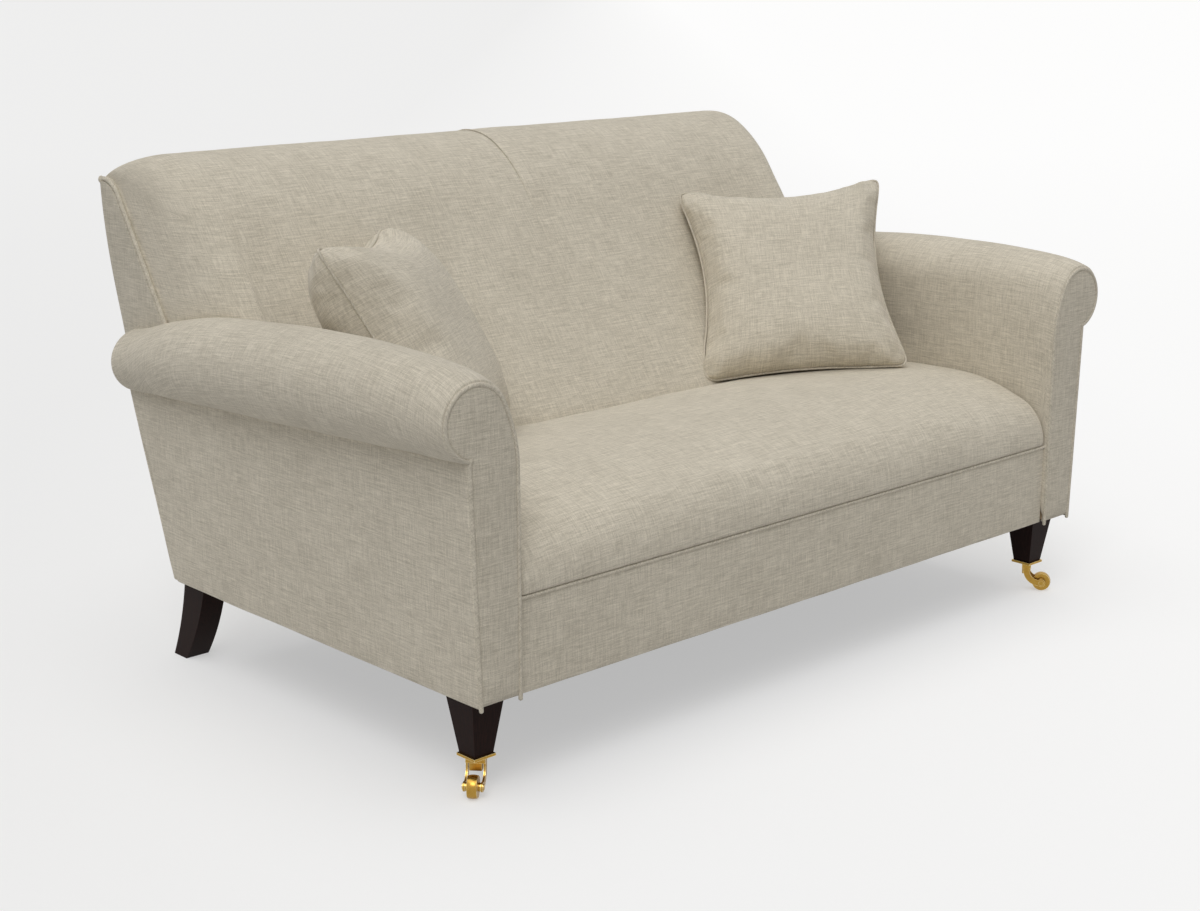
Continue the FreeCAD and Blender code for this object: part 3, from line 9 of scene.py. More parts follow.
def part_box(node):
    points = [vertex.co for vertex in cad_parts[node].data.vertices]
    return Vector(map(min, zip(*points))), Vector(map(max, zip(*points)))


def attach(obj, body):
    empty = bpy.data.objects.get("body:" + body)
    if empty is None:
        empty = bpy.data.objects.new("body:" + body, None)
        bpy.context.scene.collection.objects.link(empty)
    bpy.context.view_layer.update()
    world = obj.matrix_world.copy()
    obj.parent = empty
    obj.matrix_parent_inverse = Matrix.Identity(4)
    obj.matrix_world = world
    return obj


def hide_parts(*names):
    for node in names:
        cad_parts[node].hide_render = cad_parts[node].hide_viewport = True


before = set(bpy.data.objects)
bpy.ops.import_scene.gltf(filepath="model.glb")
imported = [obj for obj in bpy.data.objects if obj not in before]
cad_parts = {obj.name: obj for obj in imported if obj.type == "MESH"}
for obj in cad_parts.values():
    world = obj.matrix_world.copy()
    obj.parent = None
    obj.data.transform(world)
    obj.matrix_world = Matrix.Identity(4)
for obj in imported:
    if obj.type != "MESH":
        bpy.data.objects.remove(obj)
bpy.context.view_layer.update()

bl_info = {
    "name": "Roll Arm Sofa",
    "version": (1, 0, 0),
    "blender": (4, 5, 0),
    "location": "3D View > Sidebar > Sofa",
    "description": "Covers, scatter cushions, piping and finishes of a two seat roll arm sofa",
    "category": "Add Mesh",
}

# Lengths called depth are measured back from the plane of the arm front piping.
# Heights are above the floor. X is to the right of someone looking at the front.

MM = 0.001
SIDES = (("right", 1), ("left", -1))
CLOTH_FRAMES = 20

# Length, width and height of the brass apron between the arms of a castor's horn
APRON = (0.017, 0.0208, 0.014)


def low(node, axis):
    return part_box(node)[0][axis]


def high(node, axis):
    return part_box(node)[1][axis]


def length(text, default, note=""):
    return FloatProperty(name=text, description=note or text, default=default, unit="LENGTH", precision=5)


def angle(text, degrees, note=""):
    turn = math.radians(degrees)
    return FloatProperty(name=text, description=note or text, default=turn, subtype="ANGLE")


def factor(text, default, note=""):
    return FloatProperty(name=text, description=note or text, default=default)


def colour(text, red, green, blue):
    return FloatVectorProperty(name=text, description=text, default=(red, green, blue), subtype="COLOR",
                               min=0.0, max=1.0)


class SofaArmSizes(bpy.types.PropertyGroup):
    """Sizes of the arms and their rolls."""

    inner: length("Inside arm", 0.692, "Middle of the sofa to the inside arm")
    width: length("Arm width", 0.0875, "Inside arm to outside arm at the base")
    base: length("Cover underside", low("front_border", 2))
    lean: angle("Outside arm lean", 2.1)
    cord: length("Piping radius", 0.0036)
    piping_set: length("Piping behind the front edge", 0.0012)
    straight: length("Start of the inner curve", 0.530, "Height where the inside arm starts to curve")
    roll_offset: length("Roll middle from the inside arm", 0.083)
    crease_offset: length("Crease beyond the roll middle", 0.019)
    crease: length("Crease height at the front", 0.553)
    crease_fall: angle("Crease slope to the rear", 2.5)
    facing_top: length("Top of the arm front scroll", 0.675)
    roll_end: length("Rear end of the roll", 0.979, "Depth of the rear end of the roll")
    dome: length("Rounded end of the roll", 0.020)
    piping_inset: length("Piping inset", 0.0042, "Middle of the piping in from the outline")
    tail: length("Piping below the cover", 0.003)
    tuck: length("Roll drawn in at the front piping", 0.0012)


class SofaSeatSizes(bpy.types.PropertyGroup):
    """Sizes of the border and the sprung seat."""

    reach: length("Half width of the seat", high("seat_pad", 0))
    seam: length("Seam between border and seat", high("front_border", 2) + 0.3 * MM)
    border_depth: length("Border behind the arm piping", 0.008)
    nose_height: length("Seat roll above the seam", 0.055)
    shoulder_height: length("Seat shoulder above the seam", 0.096)
    top_height: length("Seat top above the seam", 0.124)
    rear_height: length("Seat rear above the seam", 0.114)
    shoulder_depth: length("Seat shoulder depth", 0.073)
    top_depth: length("Seat top depth", 0.215)
    depth: length("Foot of the inside back", 0.512)
    crown: length("Crown at mid width", 0.018)
    fullness: length("Fuller front at mid width", 0.032)
    edge: length("Tuck of the seat at the arms", 0.013)
    piping: length("Border piping radius", 0.0035)


class SofaBackSizes(bpy.types.PropertyGroup):
    """Sizes of the raked back."""

    rake: angle("Inside back lean", 34.4)
    shoulder_lean: angle("Lean at the end of the shoulder", 60.0)
    shoulder_radius: length("Shoulder radius", 0.299)
    roll_radius: length("Top roll radius", 0.1635)
    straight: length("Start of the shoulder", 0.820)
    rear: length("Rear of the sofa", 1.0578, "Depth of the top of the outside back")
    seam: length("Seam at the top of the outside back", 0.886)
    outside_rake: angle("Outside back lean", 15.6)
    bow: length("Start of the bow of the outside back", 0.720)
    end_rake: angle("Lean of the side panel's front edge", 32.6)
    end_radius: length("Curve at the top of the side panel", 0.060)
    end_top: length("Top of the side panel", 0.889)
    end_setback: length("Flat top ahead of the rear seam", 0.008)
    wing: length("Width of the rounded end", 0.078)
    wing_start: length("Start of the turn inside the arm", 0.004)
    wing_power: factor("Slowness of the turn", 2.25, "How late the back turns in at its end")
    wing_close: factor("Bluntness of the end", 0.44, "How full the rounded end of the back stays")
    seam_pull: length("Depth of the centre seam", 0.0011)
    seam_width: length("Half width of the centre seam's groove", 0.0036)
    welt: length("Half thickness of the sewn welt", 0.0013)
    piping: length("Edge piping radius", 0.0042)
    piping_sunk: length("Edge piping sunk in its seam", 0.0014)
    piping_foot: length("Foot of the edge piping", 0.642)


class SofaCushionSizes(bpy.types.PropertyGroup):
    """Sizes and lie of the loose scatter cushions."""

    side: length("Seam square", 0.4500)
    drawn: factor("Drawn in sides", 0.802, "Mid side as a share of the corner")
    front: length("Crown in front of the seam", 0.106)
    rear: length("Crown behind the seam", 0.102)
    ear: length("Corner rounding", 0.057)
    over: length("Filling beyond the seam", 0.011, "How far the full sides swell out past the seam")
    rested: factor("Resting side drawn in", 0.4, "Share of the draw where it rests")
    plump: factor("Plumpness of the right cushion", 0.76, "Share of the crown")
    piping: length("Cushion piping radius", 0.0022)
    tucked: length("Piping inside the seam", 0.0012)
    turn: angle("Turned to the middle", 40.6)
    lean: angle("Leaning back", 34.6)
    tip: angle("Rolled in its plane", 3.9)
    from_arm: length("Centre to the inside arm", 0.2144)
    from_back: length("Centre ahead of the inside back", 0.1444)
    lift: length("Centre above the seat", 0.182)
    cells: IntProperty(name="Cloth cells", description="Cloth cells along a cushion's side", default=44)
    pressure: factor("Filling pressure", 4.0)
    slack: length("Most that the cloth may move", 0.010)
    wedged: FloatVectorProperty(
        name="Left cushion wedged in", description="Shift towards the arm, the back and the top",
        unit="LENGTH", default=(0.0294, 0.0005, -0.0072))
    wedged_lean: angle("Left cushion leaning back", 30.0)


class SofaColours(bpy.types.PropertyGroup):
    """Colours of cloth, wood and metal."""

    linen_light: colour("Light yarn", 0.800, 0.737, 0.615)
    linen_dark: colour("Dark yarn", 0.491, 0.444, 0.356)
    wood: colour("Leg stain", 0.0100, 0.0040, 0.0030)
    brass: colour("Brass", 0.47, 0.285, 0.06)
    edge_highlight_brass: colour("Painted highlight on brass edges", 1.0, 0.86, 0.46)


def arms():
    return bpy.context.scene.sofa_arms


def seat():
    return bpy.context.scene.sofa_seat


def back():
    return bpy.context.scene.sofa_back


def cushions():
    return bpy.context.scene.sofa_cushions


def colours():
    return bpy.context.scene.sofa_colours


# Shared outlines, in metres

FRONT = low("arm_piping_right", 1) + 4.2 * MM


def at(x, depth, z):
    return Vector((x, depth + FRONT, z))


def outer_x(z):
    """The leaning outside arm."""
    return arms().inner + arms().width + (z - arms().base) * math.tan(arms().lean)


def crease_z(depth):
    return arms().crease - depth * math.tan(arms().crease_fall)


# Depth and height of the roll's top, from the front piping to its rear end
ROLL_TOPS = [(0.0, 0.6775), (0.025, 0.685), (0.07, 0.692), (0.18, 0.6995), (0.29, 0.7005), (0.40, 0.699),
             (0.56, 0.6895), (0.72, 0.6745), (0.829, 0.654), (0.912, 0.632), (0.974, 0.6215)]


def smooth_between(stations, place):
    """Value at a place along stations, eased through them with no overshoot."""
    count = len(stations)
    if place <= stations[0][0]:
        return stations[0][1]
    if place >= stations[-1][0]:
        return stations[-1][1]
    index = max(i for i in range(count - 1) if stations[i][0] <= place)

    def slope(i):
        first = max(i - 1, 0)
        last = min(i + 1, count - 1)
        return (stations[last][1] - stations[first][1]) / (stations[last][0] - stations[first][0])

    (x0, y0), (x1, y1) = stations[index], stations[index + 1]
    span = x1 - x0
    t = (place - x0) / span
    start = (2 * t ** 3 - 3 * t ** 2 + 1) * y0 + (t ** 3 - 2 * t ** 2 + t) * span * slope(index)
    return start + (3 * t ** 2 - 2 * t ** 3) * y1 + (t ** 3 - t ** 2) * span * slope(index + 1)


def roll_top(depth):
    return smooth_between(ROLL_TOPS, depth)


def circle_through(top, crease):
    """Centre and radius of the roll through its top and its crease."""
    a = arms()
    rise = top - crease
    radius = (rise ** 2 + a.crease_offset ** 2) / (2 * rise)
    return a.inner + max(a.roll_offset, radius + 2 * MM), top - radius, radius


def arc_points(cx, cz, radius, start, end, count):
    """Points along an arc, both ends included."""
    steps = [start + (end - start) * i / (count - 1) for i in range(count)]
    return [(cx + radius * math.cos(t), cz + radius * math.sin(t)) for t in steps]


def inner_curve(circle):
    """Centre x, radius and meeting angle of the curve from the inside arm to the roll."""
    a = arms()
    cx, cz, radius = circle
    offset = cx - a.inner
    rise = cz - a.straight
    big = (offset ** 2 + rise ** 2 - radius ** 2) / (2 * (offset - radius))
    centre = a.inner + big
    return centre, big, math.atan2(rise, cx - centre)


def facing_circle():
    return circle_through(arms().facing_top, arms().crease)


def notch(inset):
    """Where the leaning outer edge meets the underside of the scroll."""
    cx, cz, radius = facing_circle()
    slope = math.tan(arms().lean)
    base = outer_x(0) - inset / math.cos(arms().lean) - cx
    a = slope ** 2 + 1
    b = 2 * (slope * base - cz)
    c = base ** 2 + cz ** 2 - (radius - inset) ** 2
    z = (-b - math.sqrt(b ** 2 - 4 * a * c)) / (2 * a)
    return cx + base + slope * z, z


def inside_depth(z, offset=0.0):
    return seat().depth + (z - seat().seam - seat().rear_height) * math.tan(back().rake) + offset


def outside_depth(z):
    """Outside back: raked, then bowed up to the rear seam."""
    b = back()
    radius = (b.seam - b.bow) / math.sin(b.outside_rake)
    if z <= b.bow:
        knee = b.rear - radius * (1 - math.cos(b.outside_rake))
        return knee - (b.bow - z) * math.tan(b.outside_rake)
    return b.rear - radius + math.sqrt(radius ** 2 - (b.seam - min(z, b.seam)) ** 2)


def arc_through(p0, p1, p2, count):
    """Points on the circle through three points, both ends included."""
    ax, ay = p0
    bx, by = p1
    cx, cy = p2
    d = 2 * (ax * (by - cy) + bx * (cy - ay) + cx * (ay - by))
    if abs(d) < 1e-9:
        return [(ax + (cx - ax) * i / (count - 1), ay + (cy - ay) * i / (count - 1)) for i in range(count)]
    aa, bb, cc = ax * ax + ay * ay, bx * bx + by * by, cx * cx + cy * cy
    ux = (aa * (by - cy) + bb * (cy - ay) + cc * (ay - by)) / d
    uy = (aa * (cx - bx) + bb * (ax - cx) + cc * (bx - ax)) / d
    start = math.atan2(ay - uy, ax - ux)
    middle = (math.atan2(by - uy, bx - ux) - start) % math.tau
    end = (math.atan2(cy - uy, cx - ux) - start) % math.tau
    if middle > end:
        end -= math.tau
    radius = math.hypot(ax - ux, ay - uy)
    turns = [start + end * i / (count - 1) for i in range(count)]
    return [(ux + radius * math.cos(t), uy + radius * math.sin(t)) for t in turns]


def back_curve():
    """Control points of the full inside back: straight, shoulder, roll, rear seam, with arc middles."""
    b = back()
    start = (inside_depth(b.straight), b.straight)

    def along(origin, radius, begin, finish):
        return (origin[0] + radius * (math.cos(begin) - math.cos(finish)),
                origin[1] + radius * (math.sin(finish) - math.sin(begin)))

    upright = math.pi / 2
    shoulder_mid = along(start, b.shoulder_radius, b.rake, (b.rake + b.shoulder_lean) / 2)
    shoulder = along(start, b.shoulder_radius, b.rake, b.shoulder_lean)
    roll_mid = along(shoulder, b.roll_radius, b.shoulder_lean, (b.shoulder_lean + upright) / 2)
    top = along(shoulder, b.roll_radius, b.shoulder_lean, upright)
    rear = (b.rear, b.seam)
    drop = top[1] - rear[1]
    run = rear[0] - top[0]
    radius = (drop ** 2 + run ** 2) / (2 * drop)
    half = math.asin(run / radius) / 2
    rear_mid = (top[0] + radius * math.sin(half), top[1] - radius * (1 - math.cos(half)))
    return [start, shoulder_mid, shoulder, roll_mid, top, rear_mid, rear]


def end_curve(inset=0.0):
    """The same points on the side of the back, drawn in by an inset."""
    b = back()
    centre = (b.rear - b.end_setback, b.end_top - b.end_radius)
    radius = b.end_radius - inset

    def on(turn):
        return (centre[0] - radius * math.cos(turn), centre[1] + radius * math.sin(turn))

    upright = math.pi / 2
    middle = (b.end_rake + upright) / 2
    top = on(upright)
    rear = (b.rear, b.seam - inset)
    rear_mid = ((top[0] + rear[0]) / 2, (top[1] + rear[1]) / 2 + 0.8 * MM)
    return [on(b.end_rake), on((b.end_rake + middle) / 2), on(middle), on((middle + upright) / 2), top,
            rear_mid, rear]


def end_front(z, inset=0.0):
    """Depth of the front edge of the side panel at a height."""
    b = back()
    base = end_curve(inset)[0]
    if z <= base[1]:
        return base[0] - (base[1] - z) * math.tan(b.end_rake)
    rise = z - (b.end_top - b.end_radius)
    radius = b.end_radius - inset
    return b.rear - b.end_setback - math.sqrt(max(radius ** 2 - rise ** 2, 0.0))


def arm_surface_z(x, depth):
    """Height of the arm's top surface at a distance from the middle."""
    a = arms()
    circle = circle_through(roll_top(depth), crease_z(depth))
    centre, big, meet = inner_curve(circle)
    joint = circle[0] + circle[2] * math.cos(meet)
    if x <= a.inner:
        return a.straight
    if x < joint:
        return a.straight + math.sqrt(max(big ** 2 - (x - centre) ** 2, 0.0))
    return circle[1] + math.sqrt(max(circle[2] ** 2 - (x - circle[0]) ** 2, 0.0))


def quarter_round(distance, radius):
    """Drop of a rounded edge at a distance in from it."""
    if distance >= radius:
        return 0.0
    return radius - math.sqrt(max(radius ** 2 - (radius - max(distance, 0.0)) ** 2, 0.0))


# Meshes


def skin(name, rows, around=False, caps=False, mirror=1, levels=1, lay=None):
    """A cover through rows of points, with a map in metres for its weave.

    lay gives the place on the flat cloth of a row, a column and their point."""
    count = len(rows[0])
    points = [Vector((p.x * mirror, p.y, p.z)) for row in rows for p in row]
    faces = []
    wrap = count if around else count - 1
    for i in range(len(rows) - 1):
        for j in range(wrap):
            k = (j + 1) % count
            face = (i * count + j, i * count + k, (i + 1) * count + k, (i + 1) * count + j)
            faces.append(face if mirror > 0 else face[::-1])
    if caps:
        first = tuple(range(count))
        last = tuple(range((len(rows) - 1) * count, len(rows) * count))
        faces += [first[::-1], last] if mirror > 0 else [first, last[::-1]]
    mesh = bpy.data.meshes.new(name)
    mesh.from_pydata([tuple(p) for p in points], [], faces)
    lay = lay or measured(rows)
    weave = mesh.uv_layers.new(name="weave")
    for polygon in mesh.polygons:
        corners = [mesh.loops[loop].vertex_index for loop in polygon.loop_indices]
        seam = around and len(corners) == 4 and {c % count for c in corners} == {0, count - 1}
        for loop, corner in zip(polygon.loop_indices, corners):
            i, j = divmod(corner, count)
            weave.data[loop].uv = lay(i, count if seam and j == 0 else j, rows[i][j])
    return finish_mesh(name, mesh, levels)


def measured(rows):
    """Lay the cloth by lengths measured along and across the rows."""
    count = len(rows[0])
    across = [[0.0] for _ in rows]
    along = [[0.0] for _ in range(count + 1)]
    for row, sums in zip(rows, across):
        for j in range(count):
            sums.append(sums[-1] + (row[(j + 1) % count] - row[j]).length)
    for j in range(count + 1):
        for i in range(1, len(rows)):
            along[j].append(along[j][-1] + (rows[i][j % count] - rows[i - 1][j % count]).length)
    return lambda i, j, point: (across[i][j], along[j][i])


def flat_from_front(i, j, point):
    return (point.x, point.z)


def flat_from_side(i, j, point):
    return (point.y, point.z)


def finish_mesh(name, mesh, levels):
    """Put a smooth shaded mesh in the scene, with faces turned outwards by its maker."""
    for polygon in mesh.polygons:
        polygon.use_smooth = True
    mesh.validate()
    mesh.update()
    obj = bpy.data.objects.new(name, mesh)
    bpy.context.scene.collection.objects.link(obj)
    if levels:
        subdivide(obj, levels)
    return obj


def subdivide(obj, levels):
    smooth = obj.modifiers.new("subdivision", "SUBSURF")
    smooth.levels = levels
    smooth.render_levels = levels
    smooth.uv_smooth = "NONE"


def ripple(obj, amount, scale, seed, keep=None):
    """Small uneven swells along the normals, as filling gives a tight cover."""
    mesh = obj.data
    moved = []
    for vertex in mesh.vertices:
        place = vertex.co * scale + Vector((seed, 2.3 * seed, -seed))
        share = keep(vertex.co) if keep else 1.0
        moved.append(vertex.co + vertex.normal * (noise.noise(place) * amount * share))
    for vertex, place in zip(mesh.vertices, moved):
        vertex.co = place
    mesh.update()


def cord(name, path, radius, closed=False, mirror=1, sides=12, wobble=0.03, seed=1.0):
    """Round self piping along a path, a little uneven, its map laid along it."""
    count = len(path)
    rows = []
    previous = None
    for i, point in enumerate(path):
        ahead = path[(i + 1) % count] if closed or i + 1 < count else point
        behind = path[i - 1] if closed or i else point
        tangent = (ahead - behind).normalized()
        if previous is None:
            side = tangent.orthogonal().normalized()
        else:
            side = (previous - tangent * previous.dot(tangent)).normalized()
        previous = side
        other = tangent.cross(side)
        swell = radius * (1 + wobble * noise.noise(point * 60 + Vector((seed, seed, seed))))
        turns = [math.tau * k / sides for k in range(sides)]
        rows.append([point + (side * math.cos(t) + other * math.sin(t)) * swell for t in turns])
    if closed:
        rows.append(rows[0])
    else:
        rows = dome_end(rows, path[0], -1) + dome_end(rows, path[-1], 1)
    return skin(name, rows, around=True, caps=not closed, mirror=mirror, levels=0)


def dome_end(rows, tip, way):
    """Half of the rows, with the end closed by two smaller rings."""
    half = len(rows) // 2
    kept = rows[:half] if way < 0 else rows[half:]
    ring = rows[0] if way < 0 else rows[-1]
    inner = rows[1] if way < 0 else rows[-2]
    heading = (sum(ring, Vector()) - sum(inner, Vector())).normalized()
    radius = (ring[0] - tip).length
    caps = []
    for share in (0.5, 0.9):
        out = heading * radius * share * 0.8
        caps.append([tip + (p - tip) * math.sqrt(1 - share ** 2) + out for p in ring])
    return (caps[::-1] + kept) if way < 0 else (kept + caps)


def resampled(points, step):
    """Points of a path spaced evenly along it."""
    lengths = [0.0]
    for a, b in zip(points, points[1:]):
        lengths.append(lengths[-1] + (b - a).length)
    count = max(int(lengths[-1] / step), 2)
    result = []
    index = 0
    for i in range(count + 1):
        goal = lengths[-1] * i / count
        while index < len(points) - 2 and lengths[index + 1] < goal:
            index += 1
        span = lengths[index + 1] - lengths[index]
        share = (goal - lengths[index]) / span if span else 0.0
        result.append(points[index].lerp(points[index + 1], min(max(share, 0.0), 1.0)))
    return result


def spaced(start, end, count):
    return [start + (end - start) * i / (count - 1) for i in range(count)]


def dress(obj, material, nodes, body="root"):
    """Give a piece its material, slot, body and the nodes that it stands for."""
    obj.data.materials.clear()
    obj.data.materials.append(material)
    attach(obj, body)
    if nodes:
        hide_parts(*nodes)
    return obj


# Materials


class Nodes:
    """Short calls for the nodes of one material."""

    def __init__(self, name):
        self.material = bpy.data.materials.get(name) or bpy.data.materials.new(name)
        self.material.use_nodes = True
        self.tree = self.material.node_tree
        self.tree.nodes.clear()
        self.output = self.tree.nodes.new("ShaderNodeOutputMaterial")

    def add(self, kind, inputs=None, **settings):
        node = self.tree.nodes.new(kind)
        for key, value in settings.items():
            setattr(node, key, value)
        for key, value in (inputs or {}).items():
            self.set(node, key, value)
        return node

    def set(self, node, key, value):
        socket = node.inputs[key]
        if isinstance(value, bpy.types.NodeSocket):
            self.tree.links.new(value, socket)
        else:
            socket.default_value = value

    def math(self, operation, first, second=0.0):
        return self.add("ShaderNodeMath", {0: first, 1: second}, operation=operation).outputs[0]

    def noise(self, vector, scale, detail=2.0, rough=0.5):
        inputs = {"Vector": vector, "Scale": scale, "Detail": detail, "Roughness": rough}
        return self.add("ShaderNodeTexNoise", inputs).outputs["Fac"]

    def stretched(self, vector, x, y, z=1.0):
        return self.add("ShaderNodeMapping", {"Vector": vector, "Scale": (x, y, z)}).outputs[0]

    def mix(self, share, first, second):
        node = self.add("ShaderNodeMix", data_type="RGBA")
        for index, value in ((0, share), (6, first), (7, second)):
            self.set(node, index, value)
        return node.outputs[2]

    def ramp(self, value, low_edge, high_edge, low_value=0.0, high_value=1.0):
        inputs = {0: value, 1: low_edge, 2: high_edge, 3: low_value, 4: high_value}
        return self.add("ShaderNodeMapRange", inputs).outputs[0]

    def bump(self, height, strength, distance):
        inputs = {"Height": height, "Strength": strength, "Distance": distance}
        return self.add("ShaderNodeBump", inputs).outputs[0]

    def arris(self, reach):
        """One along the edges, nought on the flats: wear on the wood's arrises, a painted highlight on the
        brass.
        """
        soft = self.add("ShaderNodeBevel", {"Radius": reach}, samples=6).outputs[0]
        flat = self.add("ShaderNodeNewGeometry").outputs["Normal"]
        along = self.add("ShaderNodeVectorMath", {0: soft, 1: flat}, operation="DOT_PRODUCT")
        return self.ramp(along.outputs["Value"], 0.995, 0.90)

    def finish(self, inputs):
        shader = self.add("ShaderNodeBsdfPrincipled", inputs)
        self.tree.links.new(shader.outputs[0], self.output.inputs[0])
        return self.material


def rgba(value):
    return (value[0], value[1], value[2], 1.0)


def linen(name, bias=False, tone=1.0, along="V"):
    """Oatmeal linen: uneven yarns both ways, strongest one way, with small slubs and a plain weave."""
    n = Nodes(name)
    place = n.add("ShaderNodeUVMap", uv_map="weave").outputs[0]
    turn = math.radians(45.0) if bias else math.radians(90.0) if along == "V" else 0.0
    place = n.add("ShaderNodeMapping", {"Vector": place, "Rotation": (0.0, 0.0, turn)}).outputs[0]
    wide_weft = n.noise(n.stretched(place, 15.0, 330.0), 1.0, 2.0, 0.6)
    fine_weft = n.noise(n.stretched(place, 45.0, 820.0), 1.0, 2.0, 0.6)
    wide_warp = n.noise(n.stretched(place, 350.0, 18.0), 1.0, 2.0, 0.6)
    fine_warp = n.noise(n.stretched(place, 840.0, 48.0), 1.0, 2.0, 0.6)
    slub = n.noise(n.stretched(place, 60.0, 800.0), 1.0, 1.0)
    patch = n.noise(n.stretched(place, 7.0, 7.0), 1.0, 3.0, 0.6)
    fleck = n.noise(n.stretched(place, 520.0, 520.0), 1.0, 2.0, 0.8)
    split = n.add("ShaderNodeSeparateXYZ", {0: place})
    pitch = math.tau / (1.5 * MM)
    over = n.math("SINE", n.math("MULTIPLY", split.outputs[0], pitch))
    under = n.math("SINE", n.math("MULTIPLY", split.outputs[1], pitch))
    plain = n.math("MULTIPLY", over, under)

    def weighed(value, amount):
        return n.math("MULTIPLY", n.math("SUBTRACT", value, 0.5), amount)

    wide = n.math("ADD", weighed(wide_weft, 1.25), weighed(wide_warp, 0.95))
    fine = n.math("ADD", weighed(fine_weft, 1.3), weighed(fine_warp, 1.1))
    yarns = n.math("ADD", wide, fine)
    flecks = weighed(fleck, 1.4)
    slubs = n.math("MULTIPLY", n.ramp(slub, 0.62, 0.78), 0.30)
    total = n.math("ADD", n.math("ADD", yarns, flecks), n.math("ADD", weighed(patch, 0.4), slubs))
    share = n.math("ADD", n.math("ADD", total, 0.48), n.math("MULTIPLY", plain, 0.06))
    c = colours()
    # tone scales both yarn colours; pieces given a tone other than one get painted light or painted shade
    # from it
    dark = rgba([v * tone for v in c.linen_dark])
    light = rgba([v * tone for v in c.linen_light])
    paint = n.mix(n.add("ShaderNodeClamp", {0: share}).outputs[0], dark, light)
    relief = n.math("ADD", n.math("MULTIPLY", yarns, 0.7), n.math("MULTIPLY", plain, 0.35))
    relief = n.math("ADD", relief, n.math("ADD", flecks, slubs))
    return n.finish({
        "Base Color": paint, "Roughness": 0.92, "Specular IOR Level": 0.2, "Sheen Weight": 0.16,
        "Sheen Roughness": 0.5, "Normal": n.bump(relief, 0.6, 0.5 * MM),
    })


def leg_wood():
    """Near black brown stain on beech, satin lacquered, with a faint grain and worn arrises."""
    n = Nodes("leg_wood")
    place = n.add("ShaderNodeTexCoord").outputs["Object"]
    grain = n.noise(n.stretched(place, 420.0, 420.0, 18.0), 1.0, 4.0, 0.6)
    pores = n.noise(n.stretched(place, 1400.0, 1400.0, 60.0), 1.0, 1.0)
    cloudy = n.noise(n.stretched(place, 12.0, 12.0, 5.0), 1.0, 2.0)
    stain = rgba(colours().wood)
    lighter = rgba([v * 2.3 for v in colours().wood])
    streaks = n.math("MULTIPLY", n.ramp(grain, 0.40, 0.68), 0.75)
    figure = n.math("ADD", streaks, n.math("MULTIPLY", cloudy, 0.25))
    paint = n.mix(figure, stain, lighter)
    worn = rgba([v * 3.5 for v in colours().wood])
    paint = n.mix(n.math("MULTIPLY", n.arris(1.5 * MM), 0.5), paint, worn)
    open_pores = n.math("MULTIPLY", n.ramp(pores, 0.3, 0.45), 0.6)
    height = n.math("ADD", n.math("MULTIPLY", grain, 0.4), open_pores)
    return n.finish({
        "Base Color": paint, "Roughness": n.ramp(grain, 0.3, 0.7, 0.36, 0.48),
        "Specular IOR Level": 0.06, "Normal": n.bump(height, 0.18, 0.3 * MM),
    })


def polished_brass(name, rough=0.30, tone=1.0):
    """Polished yellow brass with fine rubbing marks, patchy dulling and a painted highlight along its
    edges.
    """
    n = Nodes(name)
    place = n.add("ShaderNodeTexCoord").outputs["Object"]
    rubbed = n.noise(n.stretched(place, 300.0, 300.0, 2600.0), 1.0, 3.0, 0.6)
    dull = n.noise(n.stretched(place, 90.0, 90.0, 90.0), 1.0, 3.0, 0.6)
    share = n.math("MULTIPLY", n.ramp(dull, 0.45, 0.75), 0.5)
    bright = rgba([v * tone for v in colours().brass])
    aged = rgba([v * tone * f for v, f in zip(colours().brass, (0.72, 0.62, 0.50))])
    paint = n.mix(n.add("ShaderNodeClamp", {0: share}).outputs[0], bright, aged)
    # Painted highlight: bright brass along the edges, standing in for the glints of the light there
    paint = n.mix(n.arris(1.1 * MM), paint, rgba(colours().edge_highlight_brass))
    return n.finish({
        "Base Color": paint, "Metallic": 1.0, "Roughness": n.ramp(share, 0.0, 1.0, rough, rough + 0.2),
        "Normal": n.bump(rubbed, 0.06, 0.1 * MM),
    })


def sawn_timber(name, light, dark, along, rings=1.0):
    """Plain timber with its grain along one axis and light saw marks."""
    n = Nodes(name)
    place = n.add("ShaderNodeTexCoord").outputs["Object"]
    across = [140.0 * rings] * 3
    across["XYZ".index(along)] = 5.0
    grain = n.noise(n.stretched(place, *across), 1.0, 5.0, 0.6)
    fine = [900.0] * 3
    fine["XYZ".index(along)] = 30.0
    fibre = n.noise(n.stretched(place, *fine), 1.0, 2.0)
    marks = [12.0] * 3
    marks["XYZ".index(along)] = 320.0
    saw = n.noise(n.stretched(place, *marks), 1.0, 1.0)
    streaks = n.math("MULTIPLY", n.ramp(grain, 0.35, 0.65), 0.7)
    share = n.math("ADD", streaks, n.math("MULTIPLY", fibre, 0.3))
    height = n.math("ADD", n.math("MULTIPLY", fibre, 0.5), n.math("MULTIPLY", saw, 0.5))
    return n.finish({
        "Base Color": n.mix(share, rgba(light), rgba(dark)), "Roughness": 0.72,
        "Normal": n.bump(height, 0.3, 0.4 * MM),
    })


